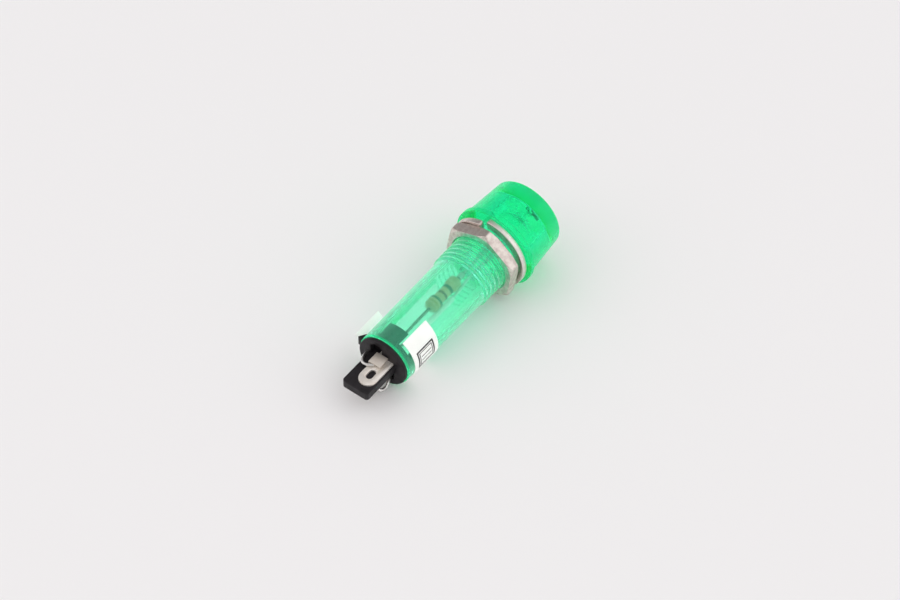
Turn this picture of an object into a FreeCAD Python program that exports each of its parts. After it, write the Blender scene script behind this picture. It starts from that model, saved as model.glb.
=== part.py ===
import FreeCAD, Part
import math
import os
import PartDesign
import Sketcher
from FreeCAD import Placement, Rotation, Vector

# A neon panel indicator for a 10 mm hole: a clear green moulding (head, flange, threaded neck and
# barrel in one piece), held in the panel by a spring washer and a thin hex nut, with a neon bulb and
# its series resistor inside, and a black rear plug that snaps into the barrel and carries two tags.
#
# Frame, in millimetres: the lamp lies on its side. X runs along its axis towards the tags, with x = 0
# on the rear face of the flange, which is the front face of the panel. +Z is up, and the plug's
# divider lies flat, with one tag above it and one below.

# Each row: alias, value in millimetres (or a plain number), what it is.
SIZES = [
    ("head_length", 9.0, "panel face to lens face"),
    ("head_front_dia", 12.4, "lens diameter at the front"),
    ("head_base_dia", 13.7, "lens diameter at the flange"),
    ("head_corner", 0.55, "round at the lens rim"),
    ("end_wall", 2.2, "thickness of the lens end wall"),
    ("flange_dia", 14.4, "flange diameter"),
    ("flange_thick", 1.1, "flange thickness"),
    ("flange_corner", 0.3, "round at the flange rims"),
    ("crest_dia", 9.96, "thread crest on the neck"),
    ("root_dia", 9.4, "thread root on the neck"),
    ("pitch_len", 1.0, "thread pitch"),
    ("thread_first", 1.3, "first ridge, from the panel face"),
    ("thread_turns", 8.0, "turns of thread"),
    ("ridge_base", 0.72, "ridge width at the root"),
    ("ridge_top", 0.26, "ridge width at the crest"),
    ("ridge_sink", 0.05, "how far a ridge or groove starts inside its wall"),
    ("runout", 0.62, "length of the cone from the thread root to the barrel"),
    ("shank_start", 9.8, "thread end, from the panel face"),
    ("shank_dia", 9.3, "plain barrel diameter"),
    ("shank_end", 14.0, "start of the mould draft"),
    ("barrel_length", 27.65, "panel face to the barrel's rear end"),
    ("tail_dia", 9.22, "barrel diameter at the rear end"),
    ("bore_front_dia", 7.7, "bore diameter at the lens"),
    ("bore_tail_dia", 8.24, "bore diameter at the rear end"),
    ("window_front", 24.8, "snap window, front edge"),
    ("window_rear", 27.2, "snap window, rear edge"),
    ("window_width", 2.2, "snap window width"),
    ("window_inside", -3.0, "snap window, inner end of its cut"),
    ("washer_gap", 0.03, "running gap beside the washer"),
    ("washer_inner_dia", 10.3, "spring washer inside"),
    ("washer_outer_dia", 13.2, "spring washer outside"),
    ("washer_thick", 0.95, "spring washer thickness"),
    ("washer_rise", 0.95, "how far its two ends stand apart"),
    ("washer_split", 6.0, "angle of the split"),
    ("washer_turn", 96.0, "angle of the low end, from +Y about X"),
    ("nut_front", 1.97, "front face of the nut"),
    ("nut_thick", 1.95, "nut thickness"),
    ("nut_flats", 12.0, "across the flats"),
    ("nut_bevel_dia", 12.5, "round land on the nut's faces"),
    ("nut_bevel", 0.35, "depth of the corner bevel"),
    ("bevel_run", 0.665, "how far the bevel runs outwards over its depth"),
    ("nut_turn", 81.7, "angle of one corner, from +Y about X"),
    ("nut_bore_dia", 9.6, "nut thread, inner diameter"),
    ("nut_groove_dia", 10.14, "nut thread, outer diameter"),
    ("groove_mouth", 0.86, "groove width in the nut, where it opens"),
    ("groove_floor", 0.31, "groove width in the nut, at its floor"),
    ("groove_turns", 5.0, "turns of groove cut past both faces of the nut"),
    ("disc_dia", 8.86, "plug disc diameter"),
    ("disc_thick", 0.55, "plug disc behind the barrel's end"),
    ("spigot_dia", 8.1, "plug spigot diameter"),
    ("spigot_bore_dia", 6.3, "plug spigot bore"),
    ("spigot_length", 3.8, "spigot length inside the barrel"),
    ("web_thick", 1.4, "plug web ahead of the barrel's end"),
    ("web_start", 0.2, "where the divider starts inside the web"),
    ("cut_past", 0.2, "how far a cut runs past the wall that it opens"),
    ("finger_angle", 50.0, "angle that each snap finger covers"),
    ("barb_front", 25.0, "barb, front edge"),
    ("barb_rear", 27.05, "barb, rear face"),
    ("barb_reach", 5.5, "barb tip, from the axis"),
    ("barb_width", 1.9, "barb width"),
    ("barb_root", 0.4, "how far the barb goes into its finger"),
    ("barb_lip", 0.1, "how far the barb's front edge stands off the spigot"),
    ("divider_length", 6.85, "divider behind the disc"),
    ("divider_width", 4.9, "divider width"),
    ("divider_thick", 1.6, "divider thickness"),
    ("divider_corner", 0.55, "round at the divider's end corners"),
    ("divider_edge", 0.15, "round on the divider's edges"),
    ("recess_depth", 1.1, "recess round each tag"),
    ("recess_left", 2.2, "recess edge past the axis, wire side"),
    ("recess_right", -0.05, "recess edge past the axis, tag side"),
    ("recess_top", 3.25, "recess edge above the axis"),
    ("recess_cut_left", 0.7, "recess corner cut off, wire side"),
    ("recess_cut_right", 0.4, "recess corner cut off, tag side"),
    ("wire_dia", 0.5, "lead wire"),
    ("wire_bend", 0.45, "bend radius of a lead wire"),
    ("wire_float", 0.01, "gap between a hooked wire and its tag"),
    ("wire_hole_dia", 0.56, "hole for a lead wire"),
    ("hole_side", 2.73, "upper wire hole beside the axis"),
    ("hole_up", 0.73, "upper wire hole above the axis"),
    ("deep_hole_side", 1.7, "lower wire hole beside the axis"),
    ("deep_hole_up", 2.15, "lower wire hole below the axis"),
    ("tag_thick", 0.4, "tag strip thickness"),
    ("tag_width", 3.0, "tag strip width"),
    ("tag_side", 0.67, "tag centre line beside the axis"),
    ("tag_start", 25.5, "tag's inner end"),
    ("tag_end", 34.0, "tag's outer end"),
    ("tag_fit", 0.02, "gap round a tag in the plug"),
    ("eye_centre", 31.8, "middle of the solder eye"),
    ("eye_length", 1.9, "solder eye length"),
    ("eye_width", 1.1, "solder eye width"),
    ("fold_start", 28.34, "folded lug, front edge"),
    ("fold_end", 30.45, "folded lug, rear edge"),
    ("fold_thick", 0.3, "folded lug thickness"),
    ("fold_reach", 2.25, "how far the lug folds over"),
    ("fold_side", 0.1, "how far the lug's bend stands past the tag's edge"),
    ("fold_room", 0.04, "spare height under the lug, over the wire"),
    ("bulb_tip", -5.9, "front of the neon bulb"),
    ("bulb_dia", 5.8, "neon bulb diameter"),
    ("bulb_wall", 0.35, "neon bulb wall"),
    ("bulb_shoulder", 3.5, "where the bulb starts to close"),
    ("pinch_start", 4.8, "front of the pressed seal"),
    ("pinch_length", 1.6, "pressed seal length"),
    ("pinch_width", 3.0, "pressed seal width"),
    ("pinch_thick", 1.3, "pressed seal thickness"),
    ("pip_length", 0.7, "sealed-off tip of the bulb"),
    ("pip_dia", 1.1, "sealed-off tip diameter"),
    ("rod_dia", 0.9, "electrode rod diameter"),
    ("rod_start", -3.4, "electrode rod, front end"),
    ("rod_length", 5.4, "electrode rod length"),
    ("stem_dia", 0.4, "electrode stem diameter"),
    ("stem_side", 0.65, "electrode beside the axis"),
    ("resistor_start", 8.3, "resistor body, front end"),
    ("resistor_length", 7.0, "resistor body length"),
    ("resistor_dia", 2.4, "resistor body over its end bulges"),
    ("resistor_waist_dia", 1.9, "resistor body at its waist"),
    ("resistor_bulge", 2.15, "length of an end bulge"),
    ("resistor_side", -0.65, "resistor beside the axis"),
    ("core_dia", 1.3, "resistor rod diameter"),
    ("core_end", 0.65, "coat past the rod at each end"),
    ("cap_dia", 1.75, "resistor end cap diameter"),
    ("cap_length", 1.3, "resistor end cap length"),
    ("cap_wall", 0.2, "resistor end cap wall"),
    ("coat_nose", 0.12, "length of the coat's blunt nose"),
    ("coat_nose_drop", 0.45, "how far the nose lies under the bulge"),
    ("coat_round", 0.45, "where the end bulge is full"),
    ("coat_slope", 0.35, "length of the slope from bulge to waist"),
    ("band_rise", 0.03, "height of a painted band"),
    ("joint_x", 7.3, "where bulb lead and resistor lead meet"),
    ("joint_dia", 1.0, "crimped joint diameter"),
    ("joint_length", 1.2, "crimped joint length"),
    ("sleeve_start", 10.4, "insulating sleeve, front end"),
    ("sleeve_length", 10.8, "insulating sleeve length"),
    ("sleeve_dia", 0.95, "insulating sleeve outside diameter"),
    ("sleeve_bore_dia", 0.56, "insulating sleeve inside diameter"),
    ("return_side", 0.25, "return lead beside the axis"),
    ("return_down", -1.8, "return lead height"),
    ("label_front", 20.35, "label, front edge"),
    ("label_width", 5.7, "label width along the barrel"),
    ("label_thick", 0.12, "label thickness"),
    ("label_gap", 0.03, "gap under the label"),
    ("label_from", 29.0, "angle where the label starts, from +Z towards +Y"),
    ("label_to", 217.5, "angle where the label leaves the barrel"),
    ("label_flap", 5.1, "length of the label's free end"),
]

# Painted bands on the resistor: name, what they go round, distance from its front end, width.
BANDS = [
    ("resistor_band_wide", "resistor_waist_dia", 2.25, 0.65),
    ("resistor_band_dark", "resistor_waist_dia", 3.75, 0.45),
    ("resistor_band_pale", "resistor_dia", 5.25, 0.45),
    ("resistor_band_end", "resistor_dia", 6.15, 0.35),
]

X_AXIS = Vector(1, 0, 0)

doc = FreeCAD.newDocument("panel_lamp")
sheet = doc.addObject("Spreadsheet::Sheet", "dims")
pieces = []


def fill_sheet():
    """Put every driving size in the sheet as a number with an alias."""
    for row, (alias, value, words) in enumerate(SIZES, start=1):
        sheet.set(f"A{row}", words)
        sheet.set(f"B{row}", str(value))
        sheet.setAlias(f"B{row}", alias)
    doc.recompute()


def size(alias):
    """One driving size, read from the sheet."""
    return float(sheet.get(alias))


def bind(thing, **sizes):
    """Bind properties of an object to expressions on the sheet."""
    for name, expression in sizes.items():
        thing.setExpression(name, cell(expression))


def cell(expression):
    """Put the sheet's name before each alias, so that an expression can be written in plain words."""
    words = []
    for word in str(expression).split():
        words.append("dims." + word if word in ALIASES else word)
    return " ".join(words)


ALIASES = {alias for alias, _, _ in SIZES}


def number(expression):
    """The value of an expression of aliases and numbers, with + - * / between spaces."""
    total = 0.0
    term = 1.0
    operator = "*"
    for word in str(expression).split():
        if word in ("+", "-"):
            total += term
            term = 1.0 if word == "+" else -1.0
            operator = "*"
        elif word in ("*", "/"):
            operator = word
        else:
            value = size(word) if word in ALIASES else float(word)
            term = term * value if operator == "*" else term / value
    return total + term


def body(name, turn=0.0, **place):
    """A PartDesign body that becomes one sub-part. It may stand away from the origin, turned about X."""
    new = doc.addObject("PartDesign::Body", name)
    new.Label = name
    new.Placement = Placement(Vector(), Rotation(X_AXIS, turn))
    for axis, expression in place.items():
        new.setExpression(f"Placement.Base.{axis}", cell(expression))
    pieces.append(new)
    return new


def sketch(owner, name, plane, offset=None):
    """A sketch on one of the body's own origin planes, moved off it along its normal if asked."""
    new = owner.newObject("Sketcher::SketchObject", name)
    origin_plane = [f for f in owner.Origin.OriginFeatures if f.Role == plane][0]
    new.AttachmentSupport = (origin_plane, [""])
    new.MapMode = "FlatFace"
    if offset is not None:
        new.setExpression("AttachmentOffset.Base.z", cell(offset))
    return new


def pin_point(drawing, edge, end, label, across, up):
    """Dimension one end of an edge from the sketch's origin, with both sizes bound to the sheet."""
    for kind, letter, expression in (("DistanceX", "across", across), ("DistanceY", "up", up)):
        drawn = Sketcher.Constraint(kind, -1, 1, edge, end, number(expression))
        index = drawing.addConstraint(drawn)
        drawing.renameConstraint(index, f"{letter}_{label}")
        drawing.setExpression(f"Constraints.{letter}_{label}", cell(expression))


def outline(owner, name, plane, corners, offset=None):
    """A closed outline of straight runs through the corners, each given as two expressions."""
    drawing = sketch(owner, name, plane, offset)
    places = [Vector(number(across), number(up), 0) for across, up in corners]
    count = len(places)
    for index in range(count):
        drawing.addGeometry(Part.LineSegment(places[index], places[(index + 1) % count]))
    for index in range(count):
        drawing.addConstraint(Sketcher.Constraint("Coincident", index, 2, (index + 1) % count, 1))
    for index, (across, up) in enumerate(corners):
        pin_point(drawing, index, 1, str(index), across, up)
    return drawing


def circles(owner, name, plane, holes, offset=None):
    """A sketch of circles, each given as two expressions for its centre and one for its diameter."""
    drawing = sketch(owner, name, plane, offset)
    for index, (across, up, diameter) in enumerate(holes):
        centre = Vector(number(across), number(up), 0)
        drawing.addGeometry(Part.Circle(centre, Vector(0, 0, 1), number(diameter) / 2))
        pin_point(drawing, index, 3, str(index), across, up)
        wide = drawing.addConstraint(Sketcher.Constraint("Diameter", index, number(diameter)))
        drawing.renameConstraint(wide, f"wide_{index}")
        drawing.setExpression(f"Constraints.wide_{index}", cell(diameter))
    return drawing


def round_end(centre, radius, start):
    """A half circle in a sketch, from a start angle."""
    return Part.ArcOfCircle(Part.Circle(centre, Vector(0, 0, 1), radius), start, start + math.pi)


def slot(owner, name, plane, centre, length, width, offset=None):
    """A sketch of a slot with round ends that runs along the sketch's first axis."""
    drawing = sketch(owner, name, plane, offset)
    across, up = centre
    half = number(width) / 2
    reach = number(length) / 2 - half
    middle = Vector(number(across), number(up), 0)
    left = middle - Vector(reach, 0, 0)
    right = middle + Vector(reach, 0, 0)
    lift = Vector(0, half, 0)
    drawing.addGeometry(Part.LineSegment(right + lift, left + lift))
    drawing.addGeometry(round_end(left, half, math.pi / 2))
    drawing.addGeometry(Part.LineSegment(left - lift, right - lift))
    drawing.addGeometry(round_end(right, half, -math.pi / 2))
    for side in range(4):
        drawing.addConstraint(Sketcher.Constraint("Tangent", side, 2, (side + 1) % 4, 1))
    drawing.addConstraint(Sketcher.Constraint("Equal", 1, 3))
    wide = drawing.addConstraint(Sketcher.Constraint("Radius", 1, half))
    drawing.renameConstraint(wide, "half_width")
    drawing.setExpression("Constraints.half_width", cell(f"{width} / 2"))
    pin_point(drawing, 1, 3, "left", f"{across} - {length} / 2 + {width} / 2", up)
    pin_point(drawing, 3, 3, "right", f"{across} + {length} / 2 - {width} / 2", up)
    return drawing


def feature(owner, kind, name, profile, **sizes):
    """A PartDesign feature on a sketch, with its sizes bound to the sheet."""
    new = owner.newObject(f"PartDesign::{kind}", name)
    new.Profile = profile
    if kind in ("Revolution", "Groove", "AdditiveHelix", "SubtractiveHelix"):
        new.ReferenceAxis = (profile, ["H_Axis"])
    bind(new, **sizes)
    return new


def turned(owner, name, corners):
    """A solid turned about the body's X axis, from an outline in the XY plane."""
    profile = outline(owner, f"{name}_profile", "XY_Plane", corners)
    return feature(owner, "Revolution", name, profile)


def ridge_outline(owner, name, middle, base, top, low, high):
    """The cross-section of a thread ridge or groove about a middle on the X axis."""
    corners = [
        (f"{middle} - {base} / 2", low),
        (f"{middle} - {top} / 2", high),
        (f"{middle} + {top} / 2", high),
        (f"{middle} + {base} / 2", low),
    ]
    return outline(owner, name, "XY_Plane", corners)


def rounded(owner, name, radius, wanted):
    """Round the edges of the body's last feature that the test picks out."""
    doc.recompute()
    last = owner.Tip
    edges = [f"Edge{i}" for i, edge in enumerate(last.Shape.Edges, start=1) if wanted(edge)]
    new = owner.newObject("PartDesign::Fillet", name)
    new.Base = (last, edges)
    bind(new, Radius=radius)
    return new


def rim_at(x, diameter):
    """A test for the round edge of this diameter at this place on the axis."""
    def wanted(edge):
        curve = edge.Curve
        if not isinstance(curve, Part.Circle):
            return False
        return abs(curve.Center.x - number(x)) < 0.01 and abs(curve.Radius * 2 - number(diameter)) < 0.01
    return wanted


def rod(name, diameter, length, own_piece=True, x="0", y="0", z="0"):
    """A round bar along X. It is a piece of its own unless it only shapes another."""
    bar = doc.addObject("Part::Cylinder", name)
    bar.Label = name
    bar.Placement = Placement(Vector(), Rotation(Vector(0, 1, 0), 90))
    bind(bar, Radius=f"( {diameter} ) / 2", Height=length)
    for axis, expression in (("x", x), ("y", y), ("z", z)):
        bar.setExpression(f"Placement.Base.{axis}", cell(expression))
    if own_piece:
        pieces.append(bar)
    return bar


def tube(name, outside, inside, length, **place):
    """A round tube along X: one bar cut by another."""
    outer = rod(f"{name}_outside", outside, length, False, **place)
    inner = rod(f"{name}_inside", inside, length, False, **place)
    cut = doc.addObject("Part::Cut", name)
    cut.Label = name
    cut.Base = outer
    cut.Tool = inner
    pieces.append(cut)
    return cut


def wire(name, route, bend):
    """A round wire along a route of straight runs joined by tangent arcs of one bend radius."""
    points = [Vector(*point) for point in route]
    edges = []
    start = points[0]
    for before, corner, after in zip(points, points[1:], points[2:]):
        back = (before - corner).normalize()
        ahead = (after - corner).normalize()
        half_turn = (math.pi - back.getAngle(ahead)) / 2
        room = 0.45 * min((before - corner).Length, (after - corner).Length)
        radius = min(bend, room / math.tan(half_turn))
        step = radius * math.tan(half_turn)
        arc_start = corner + back * step
        arc_end = corner + ahead * step
        inward = (back + ahead).normalize()
        arc_middle = corner + inward * (radius / math.cos(half_turn) - radius)
        edges.append(Part.LineSegment(start, arc_start).toShape())
        edges.append(Part.Arc(arc_start, arc_middle, arc_end).toShape())
        start = arc_end
    edges.append(Part.LineSegment(start, points[-1]).toShape())
    path = Part.Wire(edges)
    section = Part.Wire([Part.Circle(points[0], points[1] - points[0], size("wire_dia") / 2).toShape()])
    new = doc.addObject("Part::Feature", name)
    new.Label = name
    new.Shape = path.makePipeShell([section], True, False)
    expected = math.pi * (size("wire_dia") / 2) ** 2 * path.Length
    if abs(new.Shape.Volume / expected - 1) > 0.01:
        raise RuntimeError(f"{name}: the wire's volume doesn't match its section times its length")
    pieces.append(new)
    return new


def make_lens_barrel():
    """Head, flange, threaded neck and barrel: one clear green moulding, hollow from the rear."""
    owner = body("lens_barrel")
    corners = [
        ("-1 * head_length", "0"),
        ("-1 * head_length", "head_front_dia / 2"),
        ("-1 * flange_thick", "head_base_dia / 2"),
        ("-1 * flange_thick", "flange_dia / 2"),
        ("0", "flange_dia / 2"),
        ("0", "root_dia / 2"),
        ("shank_start - runout", "root_dia / 2"),
        ("shank_start", "shank_dia / 2"),
        ("shank_end", "shank_dia / 2"),
        ("barrel_length", "tail_dia / 2"),
        ("barrel_length", "bore_tail_dia / 2"),
        ("end_wall - head_length", "bore_front_dia / 2"),
        ("end_wall - head_length", "0"),
    ]
    turned(owner, "moulding", corners)
    rounded(owner, "lens_rim", "head_corner", rim_at("-1 * head_length", "head_front_dia"))
    rounded(owner, "flange_front_rim", "flange_corner", rim_at("-1 * flange_thick", "flange_dia"))
    rounded(owner, "flange_rear_rim", "flange_corner / 2", rim_at("0", "flange_dia"))
    rounded(owner, "bore_front_round", "head_corner", rim_at("end_wall - head_length", "bore_front_dia"))
    ridge = ridge_outline(owner, "ridge_profile", "thread_first", "ridge_base", "ridge_top",
                          "root_dia / 2 - ridge_sink", "crest_dia / 2")
    thread = feature(owner, "AdditiveHelix", "thread", ridge,
                     Pitch="pitch_len", Height="pitch_len * thread_turns", Turns="thread_turns")
    thread.Mode = "pitch-height-angle"
    window = outline(owner, "window_profile", "XY_Plane", [
        ("window_front", "-1 * tail_dia"),
        ("window_rear", "-1 * tail_dia"),
        ("window_rear", "window_inside"),
        ("window_front", "window_inside"),
    ])
    cut = feature(owner, "Pocket", "snap_window", window, Length="window_width")
    cut.Midplane = True


def make_lock_washer():
    """A split spring washer: one turn of flat wire whose ends stand apart along the axis."""
    owner = body("lock_washer", turn=size("washer_turn"), x="washer_gap")
    section = outline(owner, "wire_section", "XY_Plane", [
        ("0", "washer_inner_dia / 2"),
        ("washer_thick", "washer_inner_dia / 2"),
        ("washer_thick", "washer_outer_dia / 2"),
        ("0", "washer_outer_dia / 2"),
    ])
    turns = "1 - washer_split / 360"
    coil = feature(owner, "AdditiveHelix", "coil", section)
    coil.Mode = "height-turns-angle"
    bind(coil, Height="washer_rise", Turns=turns)
    coil.LeftHanded = True


def make_hex_nut():
    """A thin hex nut with bevelled corners, its thread in mesh with the neck's."""
    owner = body("hex_nut", x="nut_front")
    blank = sketch(owner, "hex_profile", "YZ_Plane")
    reach = size("nut_flats") / math.sqrt(3)
    turn = math.radians(size("nut_turn"))
    places = [Vector(reach * math.cos(turn + k * math.pi / 3), reach * math.sin(turn + k * math.pi / 3), 0)
              for k in range(6)]
    for index in range(6):
        blank.addGeometry(Part.LineSegment(places[index], places[(index + 1) % 6]))
    for index in range(6):
        blank.addConstraint(Sketcher.Constraint("Coincident", index, 2, (index + 1) % 6, 1))
    round_line = blank.addGeometry(Part.Circle(Vector(), Vector(0, 0, 1), reach), True)
    blank.addConstraint(Sketcher.Constraint("Coincident", round_line, 3, -1, 1))
    for index in range(6):
        blank.addConstraint(Sketcher.Constraint("PointOnObject", index, 1, round_line))
    for index in range(1, 6):
        blank.addConstraint(Sketcher.Constraint("Equal", 0, index))
    wide = blank.addConstraint(Sketcher.Constraint("Diameter", round_line, 2 * reach))
    blank.renameConstraint(wide, "across_corners")
    blank.setExpression("Constraints.across_corners", "2 * dims.nut_flats / sqrt(3)")
    angle = blank.addConstraint(Sketcher.Constraint("DistanceX", -1, 1, 0, 1, places[0].x))
    blank.renameConstraint(angle, "corner_side")
    blank.setExpression("Constraints.corner_side", "dims.nut_flats / sqrt(3) * cos(dims.nut_turn * 1deg)")
    feature(owner, "Pad", "hex_blank", blank, Length="nut_thick")
    for name, edge, inner in (("front_bevel", "0", "nut_bevel"),
                              ("rear_bevel", "nut_thick", "nut_thick - nut_bevel")):
        corner = outline(owner, f"{name}_profile", "XY_Plane", [
            (edge, "nut_bevel_dia / 2"),
            (edge, "nut_flats"),
            (inner, "nut_flats"),
            (inner, "nut_bevel_dia / 2 + bevel_run"),
        ])
        feature(owner, "Groove", name, corner)
    bore = circles(owner, "bore_profile", "YZ_Plane", [("0", "0", "nut_bore_dia")])
    hole = feature(owner, "Pocket", "bore", bore)
    hole.Type = "ThroughAll"
    hole.Midplane = True
    groove = ridge_outline(owner, "groove_profile", "thread_first - nut_front - pitch_len",
                           "groove_mouth", "groove_floor", "nut_bore_dia / 2 - ridge_sink",
                           "nut_groove_dia / 2")
    thread = feature(owner, "SubtractiveHelix", "nut_thread", groove,
                     Pitch="pitch_len", Height="pitch_len * groove_turns", Turns="groove_turns")
    thread.Mode = "pitch-height-angle"


def make_rear_plug():
    """The black plug: a disc, four snap fingers with one barb, and the divider between the tags."""
    owner = body("rear_plug")
    disc_face = "barrel_length + disc_thick"
    turned(owner, "disc_and_spigot", [
        ("barrel_length - web_thick", "0"),
        ("barrel_length - web_thick", "spigot_bore_dia / 2"),
        ("barrel_length - spigot_length", "spigot_bore_dia / 2"),
        ("barrel_length - spigot_length", "spigot_dia / 2"),
        ("barrel_length", "spigot_dia / 2"),
        ("barrel_length", "disc_dia / 2"),
        (disc_face, "disc_dia / 2"),
        (disc_face, "0"),
    ])
    rounded(owner, "disc_rim", "divider_edge", rim_at(disc_face, "disc_dia"))
    half_gap = math.radians(45 - size("finger_angle") / 2)
    mouth = size("disc_dia") * math.tan(half_gap)
    wedge = sketch(owner, "finger_gap_profile", "YZ_Plane", "barrel_length - spigot_length - cut_past")
    points = [Vector(0, 0, 0), Vector(size("disc_dia"), -mouth, 0), Vector(size("disc_dia"), mouth, 0)]
    diagonal = Rotation(Vector(0, 0, 1), 45)
    points = [diagonal.multVec(point) for point in points]
    for index in range(3):
        wedge.addGeometry(Part.LineSegment(points[index], points[(index + 1) % 3]))
    gap = feature(owner, "Pocket", "finger_gap", wedge)
    gap.Reversed = True
    bind(gap, Length="spigot_length + cut_past - web_thick")
    gaps = owner.newObject("PartDesign::PolarPattern", "finger_gaps")
    gaps.Originals = [gap]
    gaps.Axis = ([f for f in owner.Origin.OriginFeatures if f.Role == "X_Axis"][0], [""])
    gaps.Angle = 360
    gaps.Occurrences = 4
    owner.Tip = gaps
    barb = outline(owner, "barb_profile", "XY_Plane", [
        ("barb_front", "-1 * spigot_dia / 2 + barb_root"),
        ("barb_front", "-1 * spigot_dia / 2 - barb_lip"),
        ("barb_rear", "-1 * barb_reach"),
        ("barb_rear", "-1 * spigot_dia / 2 + barb_root"),
    ])
    wedge_pad = feature(owner, "Pad", "barb", barb, Length="barb_width")
    wedge_pad.Midplane = True
    bar = outline(owner, "divider_profile", "XY_Plane", [
        ("barrel_length - web_thick + web_start", "divider_width / 2"),
        (f"{disc_face} + divider_length", "divider_width / 2"),
        (f"{disc_face} + divider_length", "-1 * divider_width / 2"),
        ("barrel_length - web_thick + web_start", "-1 * divider_width / 2"),
    ])
    divider = feature(owner, "Pad", "divider", bar, Length="divider_thick")
    divider.Midplane = True
    end = number(f"{disc_face} + divider_length")
    rounded(owner, "divider_corners", "divider_corner", lambda edge: upright_edge_at(edge, end))
    half = number("divider_thick / 2")
    start = number(disc_face)
    rounded(owner, "divider_edges", "divider_edge", lambda edge: level_edge_past(edge, half, start))
    for side, label, hole_side, hole_up in ((1, "upper", "hole_side", "hole_up"),
                                            (-1, "lower", "deep_hole_side", "deep_hole_up")):
        cut_tag_seat(owner, label, side, disc_face, hole_side, hole_up)


def upright_edge_at(edge, x):
    """Whether an edge runs along Z at this place on the axis."""
    box = edge.BoundBox
    return box.XLength < 0.001 and box.YLength < 0.001 and abs(box.XMin - x) < 0.001


def level_edge_past(edge, height, x):
    """Whether an edge lies level at this height above or below the axis, past this place on it."""
    box = edge.BoundBox
    return box.ZLength < 0.001 and abs(abs(box.ZMin) - height) < 0.001 and box.XMax > x + 0.001


def cut_tag_seat(owner, label, side, disc_face, hole_side, hole_up):
    """The recess, the slit for the tag and the hole for the lead, on one side of the divider."""
    recess = outline(owner, f"{label}_recess_profile", "YZ_Plane", [
        (f"{-side} * recess_left", f"{side} * divider_thick / 2"),
        (f"{side} * recess_right", f"{side} * divider_thick / 2"),
        (f"{side} * recess_right", f"{side} * recess_top - {side} * recess_cut_right"),
        (f"{side} * recess_right - {side} * recess_cut_right", f"{side} * recess_top"),
        (f"{-side} * recess_left + {side} * recess_cut_left", f"{side} * recess_top"),
        (f"{-side} * recess_left", f"{side} * recess_top - {side} * recess_cut_left"),
    ], disc_face)
    feature(owner, "Pocket", f"{label}_recess", recess, Length="recess_depth")
    left = f"{side} * tag_side - tag_width / 2 - tag_fit"
    right = f"{side} * tag_side + tag_width / 2 + tag_fit"
    slit = outline(owner, f"{label}_slit_profile", "YZ_Plane", [
        (left, f"{side} * divider_thick / 2"),
        (right, f"{side} * divider_thick / 2"),
        (right, f"{side} * divider_thick / 2 + {side} * tag_thick + {side} * tag_fit"),
        (left, f"{side} * divider_thick / 2 + {side} * tag_thick + {side} * tag_fit"),
    ], disc_face)
    feature(owner, "Pocket", f"{label}_slit", slit, Length="disc_thick + web_thick + cut_past")
    hole = circles(owner, f"{label}_wire_hole_profile", "YZ_Plane",
                   [(f"{-side} * {hole_side}", f"{side} * {hole_up}", "wire_hole_dia")], disc_face)
    feature(owner, "Pocket", f"{label}_wire_hole", hole, Length="disc_thick + web_thick + cut_past")


def make_tag(name, turn):
    """A solder tag: a flat strip with a round end and a long eye, and a lug folded over the lead."""
    owner = body(name, turn=turn)
    strip = sketch(owner, "strip_profile", "XY_Plane", "divider_thick / 2")
    half = size("tag_width") / 2
    side = size("tag_side")
    start = size("tag_start")
    end = size("tag_end") - half
    strip.addGeometry(Part.LineSegment(Vector(end, side + half, 0), Vector(start, side + half, 0)))
    strip.addGeometry(Part.LineSegment(Vector(start, side + half, 0), Vector(start, side - half, 0)))
    strip.addGeometry(Part.LineSegment(Vector(start, side - half, 0), Vector(end, side - half, 0)))
    strip.addGeometry(round_end(Vector(end, side, 0), half, -math.pi / 2))
    strip.addConstraint(Sketcher.Constraint("Coincident", 0, 2, 1, 1))
    strip.addConstraint(Sketcher.Constraint("Coincident", 1, 2, 2, 1))
    strip.addConstraint(Sketcher.Constraint("Tangent", 2, 2, 3, 1))
    strip.addConstraint(Sketcher.Constraint("Tangent", 3, 2, 0, 1))
    strip.addConstraint(Sketcher.Constraint("Vertical", 1))
    pin_point(strip, 1, 1, "left", "tag_start", "tag_side + tag_width / 2")
    pin_point(strip, 3, 3, "end", "tag_end - tag_width / 2", "tag_side")
    feature(owner, "Pad", "strip", strip, Length="tag_thick")
    eye = slot(owner, "eye_profile", "XY_Plane", ("eye_centre", "tag_side"), "eye_length", "eye_width",
               "divider_thick / 2 + tag_thick")
    feature(owner, "Pocket", "eye", eye, Length="tag_thick * 2")
    edge = "tag_side - tag_width / 2 - fold_side"
    floor = "divider_thick / 2"
    top = "divider_thick / 2 + tag_thick + wire_dia + fold_room"
    lug = outline(owner, "lug_profile", "YZ_Plane", [
        (f"{edge} + fold_thick", floor),
        (edge, floor),
        (edge, f"{top} + fold_thick"),
        (f"{edge} + fold_reach", f"{top} + fold_thick"),
        (f"{edge} + fold_reach", top),
        (f"{edge} + fold_thick", top),
    ], "fold_start")
    feature(owner, "Pad", "folded_lug", lug, Length="fold_end - fold_start")
    fold_y = number(edge)
    fold_z = number(f"{top} + fold_thick")
    rounded(owner, "fold_round", "fold_thick", lambda line: lengthwise_edge_at(line, fold_y, fold_z))


def lengthwise_edge_at(edge, y, z):
    """Whether an edge runs along X at this place beside and above the axis."""
    box = edge.BoundBox
    return box.YLength < 0.001 and abs(box.YMin - y) < 0.001 and abs(box.ZMin - z) < 0.001


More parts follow.
